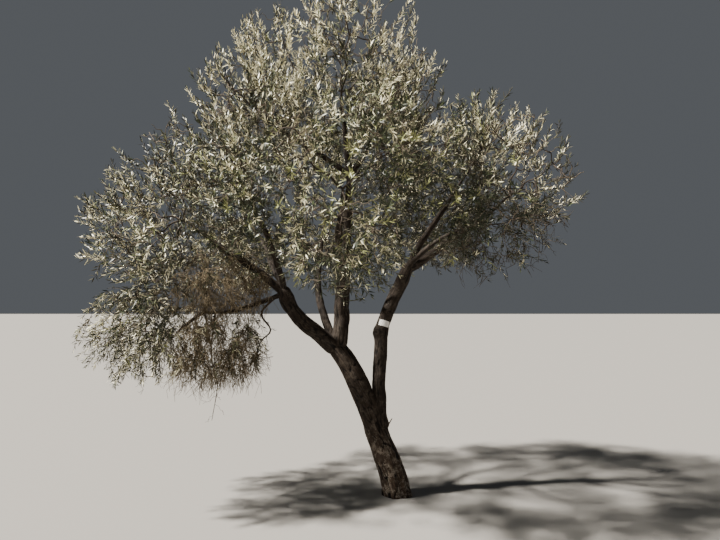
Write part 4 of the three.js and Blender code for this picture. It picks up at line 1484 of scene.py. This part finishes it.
def bark_material(name, bark, ridge_gain, lichen_and_dapples, bump, fade=None):
    """Bark whose pattern follows the surface: it reads the height and the grain that each point of a limb
    holds. `ridge_gain` makes the ridges lighter, as painted light on the trunk's foot, or darker, as painted
    shade on the boughs. Where `fade` gives two heights, the lichen and its painted dapples of light thin out
    and the ridges darken, as painted shade, from the lower to the upper one."""
    material, shader = new_material(name)
    tree = material.node_tree
    effect = tree.nodes.new("ShaderNodeGroup")
    effect.node_tree = weathering_and_light_group()
    place = tree.nodes.new("ShaderNodeTexCoord").outputs["Object"]
    tree.links.new(place, effect.inputs["Place"])
    for attribute, output, socket in (("grain", "Vector", "Grain"), ("relief", "Fac", "Relief")):
        reader = add_node(tree, "ShaderNodeAttribute", attribute_name=attribute)
        tree.links.new(reader.outputs[output], effect.inputs[socket])
    effect.inputs["Ridge"].default_value = times(bark.ridge_colour, ridge_gain)
    effect.inputs["Furrow"].default_value = (*bark.furrow_colour, 1)
    effect.inputs["Lichen And Dapples"].default_value = (*bark.lichen_and_dapple_colour, 1)
    effect.inputs["Lichen And Dapple Amount"].default_value = lichen_and_dapples
    if fade:
        parts = tree.nodes.new("ShaderNodeSeparateXYZ")
        tree.links.new(place, parts.inputs[0])
        amount = range_node(tree, parts.outputs["Z"], *fade, lichen_and_dapples, HIGH_LICHEN_AND_DAPPLES)
        tree.links.new(amount, effect.inputs["Lichen And Dapple Amount"])
        high = range_node(tree, parts.outputs["Z"], *fade, 0.0, 1.0)
        pale, dark = (times(bark.ridge_colour, gain) for gain in (ridge_gain, HIGH_GAIN))
        tree.links.new(blend_node(tree, high, pale, dark), effect.inputs["Ridge"])
    bumps = add_node(tree, "ShaderNodeBump", Strength=bump, Distance=0.003)
    tree.links.new(effect.outputs["Height"], bumps.inputs["Height"])
    tree.links.new(effect.outputs["Color"], shader.inputs["Base Color"])
    tree.links.new(effect.outputs["Roughness"], shader.inputs["Roughness"])
    tree.links.new(bumps.outputs["Normal"], shader.inputs["Normal"])
    shader.inputs["Specular IOR Level"].default_value = 0.25
    return material


def label_material():
    """Pale plastic that is a little dusty and dull in patches."""
    material, shader = new_material("weathered_white_plastic")
    tree = material.node_tree
    place = tree.nodes.new("ShaderNodeTexCoord").outputs["Object"]
    dust = range_node(tree, noise_node(tree, place, scale=45, detail=5), 0.42, 0.72, to_high=0.5)
    white, dusty = (0.80, 0.79, 0.77, 1), (0.52, 0.47, 0.40, 1)
    tree.links.new(blend_node(tree, dust, white, dusty), shader.inputs["Base Color"])
    tree.links.new(range_node(tree, dust, 0.0, 0.5, to_low=0.38, to_high=0.7), shader.inputs["Roughness"])
    bumps = add_node(tree, "ShaderNodeBump", Strength=0.2, Distance=0.001)
    tree.links.new(noise_node(tree, place, scale=160, detail=3), bumps.inputs["Height"])
    tree.links.new(bumps.outputs["Normal"], shader.inputs["Normal"])
    return material


def dress_limb(name, bark, material):
    """Makes the bark of one limb and lets it stand for the limb's solid."""
    points, height, grain = limb_surface(name, bark)
    rings, sides = points.shape[:2]
    foot, tip = (np.mean(ring, axis=0) for ring in (points[0], points[-1]))
    tip = tip + unit(np.mean(points[-1] - points[-2], axis=0)) * 0.001
    skin = np.vstack((points.reshape(-1, 3), foot, tip))
    piece = make_piece(f"{name}_bark", skin, skin_faces(rings, sides), [material])
    relief = np.concatenate((height.ravel(), height[0, :1], height[-1, :1]))
    give_attribute(piece, "relief", "FLOAT", relief)
    grain = np.vstack((grain.reshape(-1, 3), grain[0, :1], grain[-1, :1]))
    give_attribute(piece, "grain", "FLOAT_VECTOR", grain)
    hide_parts(name)


def twig_with_sides(line, radii, side_twigs=0, length=0.0, seed=0):
    """A crooked bare twig with smaller ones that leave it at even distances, by the golden angle, and fork
    once more."""
    random = np.random.default_rng(seed)
    rings = BARE_RINGS
    path = at_shares(line, np.linspace(0, 1, rings))
    ahead = unit(np.gradient(path, axis=0))
    knobs = 1 + KNOBS * np.sin(np.arange(rings) * KNOB_STEP)
    parts = [tubes(path[None], np.linspace(*radii, rings)[None] * knobs, BARE_SIDES)]
    if side_twigs:
        place = np.linspace(*SIDE_TWIG_PLACES, side_twigs)
        index = (place * (rings - 1)).astype(int)
        turn = np.arange(side_twigs) * GOLDEN_ANGLE
        way = branch_off(ahead[index], np.full(side_twigs, math.radians(SIDE_TWIG_ANGLE)), turn)
        root = path[index]
        reach = length * random.uniform(*SIDE_TWIG_LENGTHS, (side_twigs, 1))
        end = root + way * reach
        bend = (root + end) / 2 + random.normal(0, 0.12, end.shape) * reach
        side = quadratic(root, bend, end, np.linspace(0, 1, SIDE_TWIG_RINGS))
        side = crooked(side, SIDE_TWIG_CROOK, random)
        taper = np.linspace(*SIDE_TWIG_TAPER, SIDE_TWIG_RINGS)[None] * mix(*radii, place)[:, None]
        parts.append(tubes(side, np.maximum(taper, SIDE_TWIG_RADIUS), SIDE_TWIG_SIDES))
        root, ahead = side[:, LAST_FORK_RING], unit(side[:, -1] - side[:, LAST_FORK_RING - 1])
        way = branch_off(ahead, np.full(side_twigs, LAST_FORK_ANGLE), turn)
        end = root + way * reach * LAST_FORK_LENGTH
        fork = quadratic(root, (root + end) / 2, end, LAST_FORK_WOOD.shares())
        parts.append(wooden(crooked(fork, LAST_FORK_WOOD.crook, random), LAST_FORK_WOOD))
    return join(parts)


def closed_sheet(outer, inner):
    """A thin closed plate from two equal grids: both are covered, the inner one turned round, and a wall of
    triangles joins their rims."""
    rows, columns = outer.shape[:2]
    index = np.arange(rows * columns).reshape(rows, columns)
    a, b, c, d = (part.ravel() for part in (index[:-1, :-1], index[1:, :-1], index[1:, 1:], index[:-1, 1:]))
    cover = np.concatenate((np.stack((a, b, c), -1), np.stack((a, c, d), -1)))
    back = cover[:, ::-1] + rows * columns
    rim = np.concatenate((index[:-1, 0], index[-1, :-1], index[:0:-1, -1], index[0, :0:-1]))
    following = np.roll(rim, -1)
    low, low_next = rim + rows * columns, following + rows * columns
    walls = np.concatenate((np.stack((rim, low, low_next), -1), np.stack((rim, low_next, following), -1)))
    points = np.vstack((outer.reshape(-1, 3), inner.reshape(-1, 3)))
    return points, np.concatenate((cover, back, walls))


def make_twigs(limb, grown, finishes):
    """One piece of all twigs on a limb, each kind in its own finish."""
    wood = [part for one in grown for part in (one.thick, one.fine, one.dry)]
    names = [name for name, _, _ in TWIG_FINISHES]
    dry = names.index("dry_twig" if FANS[limb].bare else "shaded_dry_twig")
    kinds = [np.full(len(faces), kind) for (_, faces), kind in zip(wood, itertools.cycle((0, 1, dry)))]
    return make_piece(f"{limb}_twigs", *join(wood), finishes, np.concatenate(kinds))


def make_leaves(limb, masses, grown, finishes, foliage):
    """One piece of all leaves on a limb, full ones outside and narrow ones in the crown's depth, with the
    tints of their two sides."""
    meshes, tints = [], []
    for mass, one in zip(masses, grown):
        random = np.random.default_rng(foliage.seed + LEAF_SEEDS + mass.seed)
        start, way, upper, size, shoot = leaf_places(mass, one, foliage, random)
        above, below = deal_tints(one.end, shoot, foliage.seed + 2, random)
        narrow = (outwardness(start) < NARROW_DEPTH) | (random.random(len(start)) < NARROW_SHARE)
        for shape, own in ((FULL_LEAF, ~narrow), (NARROW_LEAF, narrow)):
            places = (part[own] for part in (start, way, upper, size))
            meshes.append(leaf_meshes(*places, foliage.leaf_width, shape))
            counts = (len(shape.above), len(shape.below))
            tints.append(np.repeat((above[own], below[own]), counts, axis=0).T.ravel())
    return make_piece(f"{limb}_leaves", *join(meshes), finishes, np.concatenate(tints), rounded=False)


class OLIVE_OT_stage(bpy.types.Operator):
    """Lays the floor, sets the lights and aims the camera from the front"""

    bl_idname = "olive.stage"
    bl_label = "Set the Stage"

    def execute(self, context):
        settings = context.scene.olive_stage
        half = FLOOR_HALF
        corners = np.array(((-half, -half, 0), (half, -half, 0), (half, half, 0), (-half, half, 0)))
        mesh = bpy.data.meshes.new("floor")
        mesh.from_pydata(corners.tolist(), [], [(0, 1, 2, 3)])
        floor = bpy.data.objects.new("floor", mesh)
        floor.location.z = -0.001
        context.scene.collection.objects.link(floor)
        mesh.materials.append(plain_material("pale_floor", settings.floor_colour, 0.9))

        world = bpy.data.worlds.new("soft_light")
        world.use_nodes = True
        background = world.node_tree.nodes["Background"]
        background.inputs["Color"].default_value = (*settings.backdrop_colour, 1)
        background.inputs["Strength"].default_value = settings.fill_strength
        context.scene.world = world

        key = bpy.data.lights.new("key", "SUN")
        key.energy = settings.key_strength
        key.angle = math.radians(SUN_WIDTH)
        key.color = SUN_COLOUR
        lamp = bpy.data.objects.new("key", key)
        lamp.rotation_euler = [math.radians(turn) for turn in SUN_TURNS]
        context.scene.collection.objects.link(lamp)

        lens = bpy.data.cameras.new("front_camera")
        lens.sensor_width = SENSOR_WIDTH
        lens.lens = LENS_LENGTH
        lens.clip_end = 300
        camera = bpy.data.objects.new("front_camera", lens)
        camera.location = CAMERA_PLACE
        camera.rotation_euler = (math.radians(90 + CAMERA_TILT), 0, 0)
        context.scene.collection.objects.link(camera)
        context.scene.camera = camera
        return {"FINISHED"}


class OLIVE_OT_trunk(bpy.types.Operator):
    """Makes the bark of the trunk, with its flare, clefts and knots"""

    bl_idname = "olive.trunk"
    bl_label = "Trunk"

    def execute(self, context):
        bark = context.scene.olive_bark
        # The trunk's ridges are lighter at its foot as painted light and darken upwards as painted shade of
        # the crown
        material = bark_material("old_bark", bark, ridge_gain=1.70, lichen_and_dapples=1.0, bump=0.6, fade=(0.12, 0.62))
        dress_limb("trunk", bark, material)
        return {"FINISHED"}


class OLIVE_OT_boughs(bpy.types.Operator):
    """Makes the bark of every bough and limb"""

    bl_idname = "olive.boughs"
    bl_label = "Boughs"

    def execute(self, context):
        bark = context.scene.olive_bark
        # The boughs' and limbs' ridges are darker than the trunk's, as painted shade of the crown
        thick = bark_material("bough_bark", bark, ridge_gain=0.56, lichen_and_dapples=0.10, bump=0.55)
        thin = bark_material("limb_bark", bark, ridge_gain=0.52, lichen_and_dapples=0.08, bump=0.4)
        for name, limb in LIMBS.items():
            if name != "trunk":
                dress_limb(name, bark, thick if limb.radii[0] > THICK_BARK_ABOVE else thin)
        return {"FINISHED"}


class OLIVE_OT_bare_twigs(bpy.types.Operator):
    """Makes the bare twigs that hang below the crown, the broken stub and the dead twig on the trunk"""

    bl_idname = "olive.bare_twigs"
    bl_label = "Bare Twigs"

    def execute(self, context):
        dead = plain_material("dead_twig", (0.038, 0.027, 0.020), 0.9)
        for seed, (name, twig) in enumerate(BARE_TWIGS.items()):
            line = spline_through(twig.through)
            points, faces = twig_with_sides(line, twig.radii, twig.side_twigs, SIDE_TWIG_LENGTH, seed)
            piece = make_piece(f"{name}_wood", points, faces, [dead])
            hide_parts(name)
        foot, knee, near, far = (np.array(place) for place in DEAD_TWIG)
        prong = spline_through((foot, knee, near))
        spike = spline_through((foot, mix(foot, knee, 0.9), far))
        parts = [
            twig_with_sides(prong, (0.007, 0.004)),
            twig_with_sides(spike, (0.0045, 0.0015)),
        ]
        piece = make_piece("trunk_dead_twig", *join(parts), [dead])
        return {"FINISHED"}


class OLIVE_OT_label(bpy.types.Operator):
    """Makes the blank label that is bent round the front of the right bough"""

    bl_idname = "olive.label"
    bl_label = "Blank Label"

    place: bpy.props.FloatProperty(
        name="Place",
        description="Share of the bough at which the label sits",
        default=LABEL_PLACE,
        min=0.0,
        max=1.0,
    )

    def execute(self, context):
        line = limb_line("right_bough")
        middle = at_shares(line, (self.place,))[0]
        ahead = unit(at_shares(line, (self.place + 0.01,))[0] - at_shares(line, (self.place - 0.01,))[0])
        front = unit(FRONT - ahead * (ahead @ FRONT))
        right = np.cross(ahead, front)
        radius = mix(*LIMBS["right_bough"].radii, self.place) + LABEL_GAP
        across, along = np.meshgrid(np.linspace(-1, 1, 33), np.linspace(-1, 1, 17), indexing="ij")
        swing = np.arcsin(LABEL_HALF[1] / radius) * across * np.sqrt(1 - LABEL_ROUNDING * along**2)
        rise = LABEL_HALF[0] * along * np.sqrt(1 - LABEL_ROUNDING * across**2)
        lift = CORNER_LIFT * (across * along) ** 4 + LABEL_RIPPLE * np.sin(5 * across + 3 * along)
        reach = (radius + lift + LABEL_GAP)[..., None]
        spoke = front * np.cos(swing)[..., None] + right * np.sin(swing)[..., None]
        outer = middle + spoke * (reach + LABEL_THICKNESS) + ahead * rise[..., None]
        inner = middle + spoke * reach + ahead * rise[..., None]
        points, faces = closed_sheet(outer, inner)
        piece = make_piece("blank_label_plate", points, faces, [label_material()])
        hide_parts("blank_label")
        return {"FINISHED"}


class OLIVE_OT_foliage(bpy.types.Operator):
    """Grows the twigs and leaves of every mass on from its limb"""

    bl_idname = "olive.foliage"
    bl_label = "Twigs and Leaves"

    def execute(self, context):
        foliage = context.scene.olive_foliage
        tints = [plain_material(*tint, roughness=0.42, specular=0.4) for tint in TINTS.items()]
        tints += [plain_material(*tint, roughness=0.75, specular=0.2) for tint in UNDERSIDES.items()]
        woods = [plain_material(*finish) for finish in TWIG_FINISHES]
        for limb in FANS:
            masses = [mass for mass in plan_masses() if mass.limb == limb]
            grown = [grow_mass(mass, foliage) for mass in masses]
            twigs = make_twigs(limb, grown, woods)
            leafage = make_leaves(limb, masses, grown, tints, foliage)
            for piece in (twigs, leafage):
                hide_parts(*(mass.node for mass in masses))
        return {"FINISHED"}


class OLIVE_PT_panel(bpy.types.Panel):
    """Lists the pieces of the tree and their settings"""

    bl_idname = "OLIVE_PT_panel"
    bl_label = "Olive Tree"
    bl_space_type = "VIEW_3D"
    bl_region_type = "UI"
    bl_category = "Olive Tree"

    def draw(self, context):
        for operator in PIECE_OPERATORS:
            self.layout.operator(operator.bl_idname)
        for group in SETTINGS:
            box = self.layout.box()
            for name in SETTINGS[group].__annotations__:
                box.prop(getattr(context.scene, group), name)


PIECE_OPERATORS = (
    OLIVE_OT_stage,
    OLIVE_OT_trunk,
    OLIVE_OT_boughs,
    OLIVE_OT_bare_twigs,
    OLIVE_OT_label,
    OLIVE_OT_foliage,
)
SETTINGS = {
    "olive_bark": OliveBarkSettings,
    "olive_foliage": OliveFoliageSettings,
    "olive_stage": OliveStageSettings,
}


def register():
    for kind in (*SETTINGS.values(), *PIECE_OPERATORS, OLIVE_PT_panel):
        bpy.utils.register_class(kind)
    for name, kind in SETTINGS.items():
        setattr(bpy.types.Scene, name, bpy.props.PointerProperty(type=kind))


def unregister():
    for name in SETTINGS:
        delattr(bpy.types.Scene, name)
    for kind in (OLIVE_PT_panel, *reversed(PIECE_OPERATORS), *SETTINGS.values()):
        bpy.utils.unregister_class(kind)


def main():
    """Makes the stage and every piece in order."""
    register()
    bpy.ops.olive.stage()
    bpy.ops.olive.trunk()
    bpy.ops.olive.boughs()
    bpy.ops.olive.bare_twigs()
    bpy.ops.olive.label()
    bpy.ops.olive.foliage()


if __name__ == "__main__":
    main()
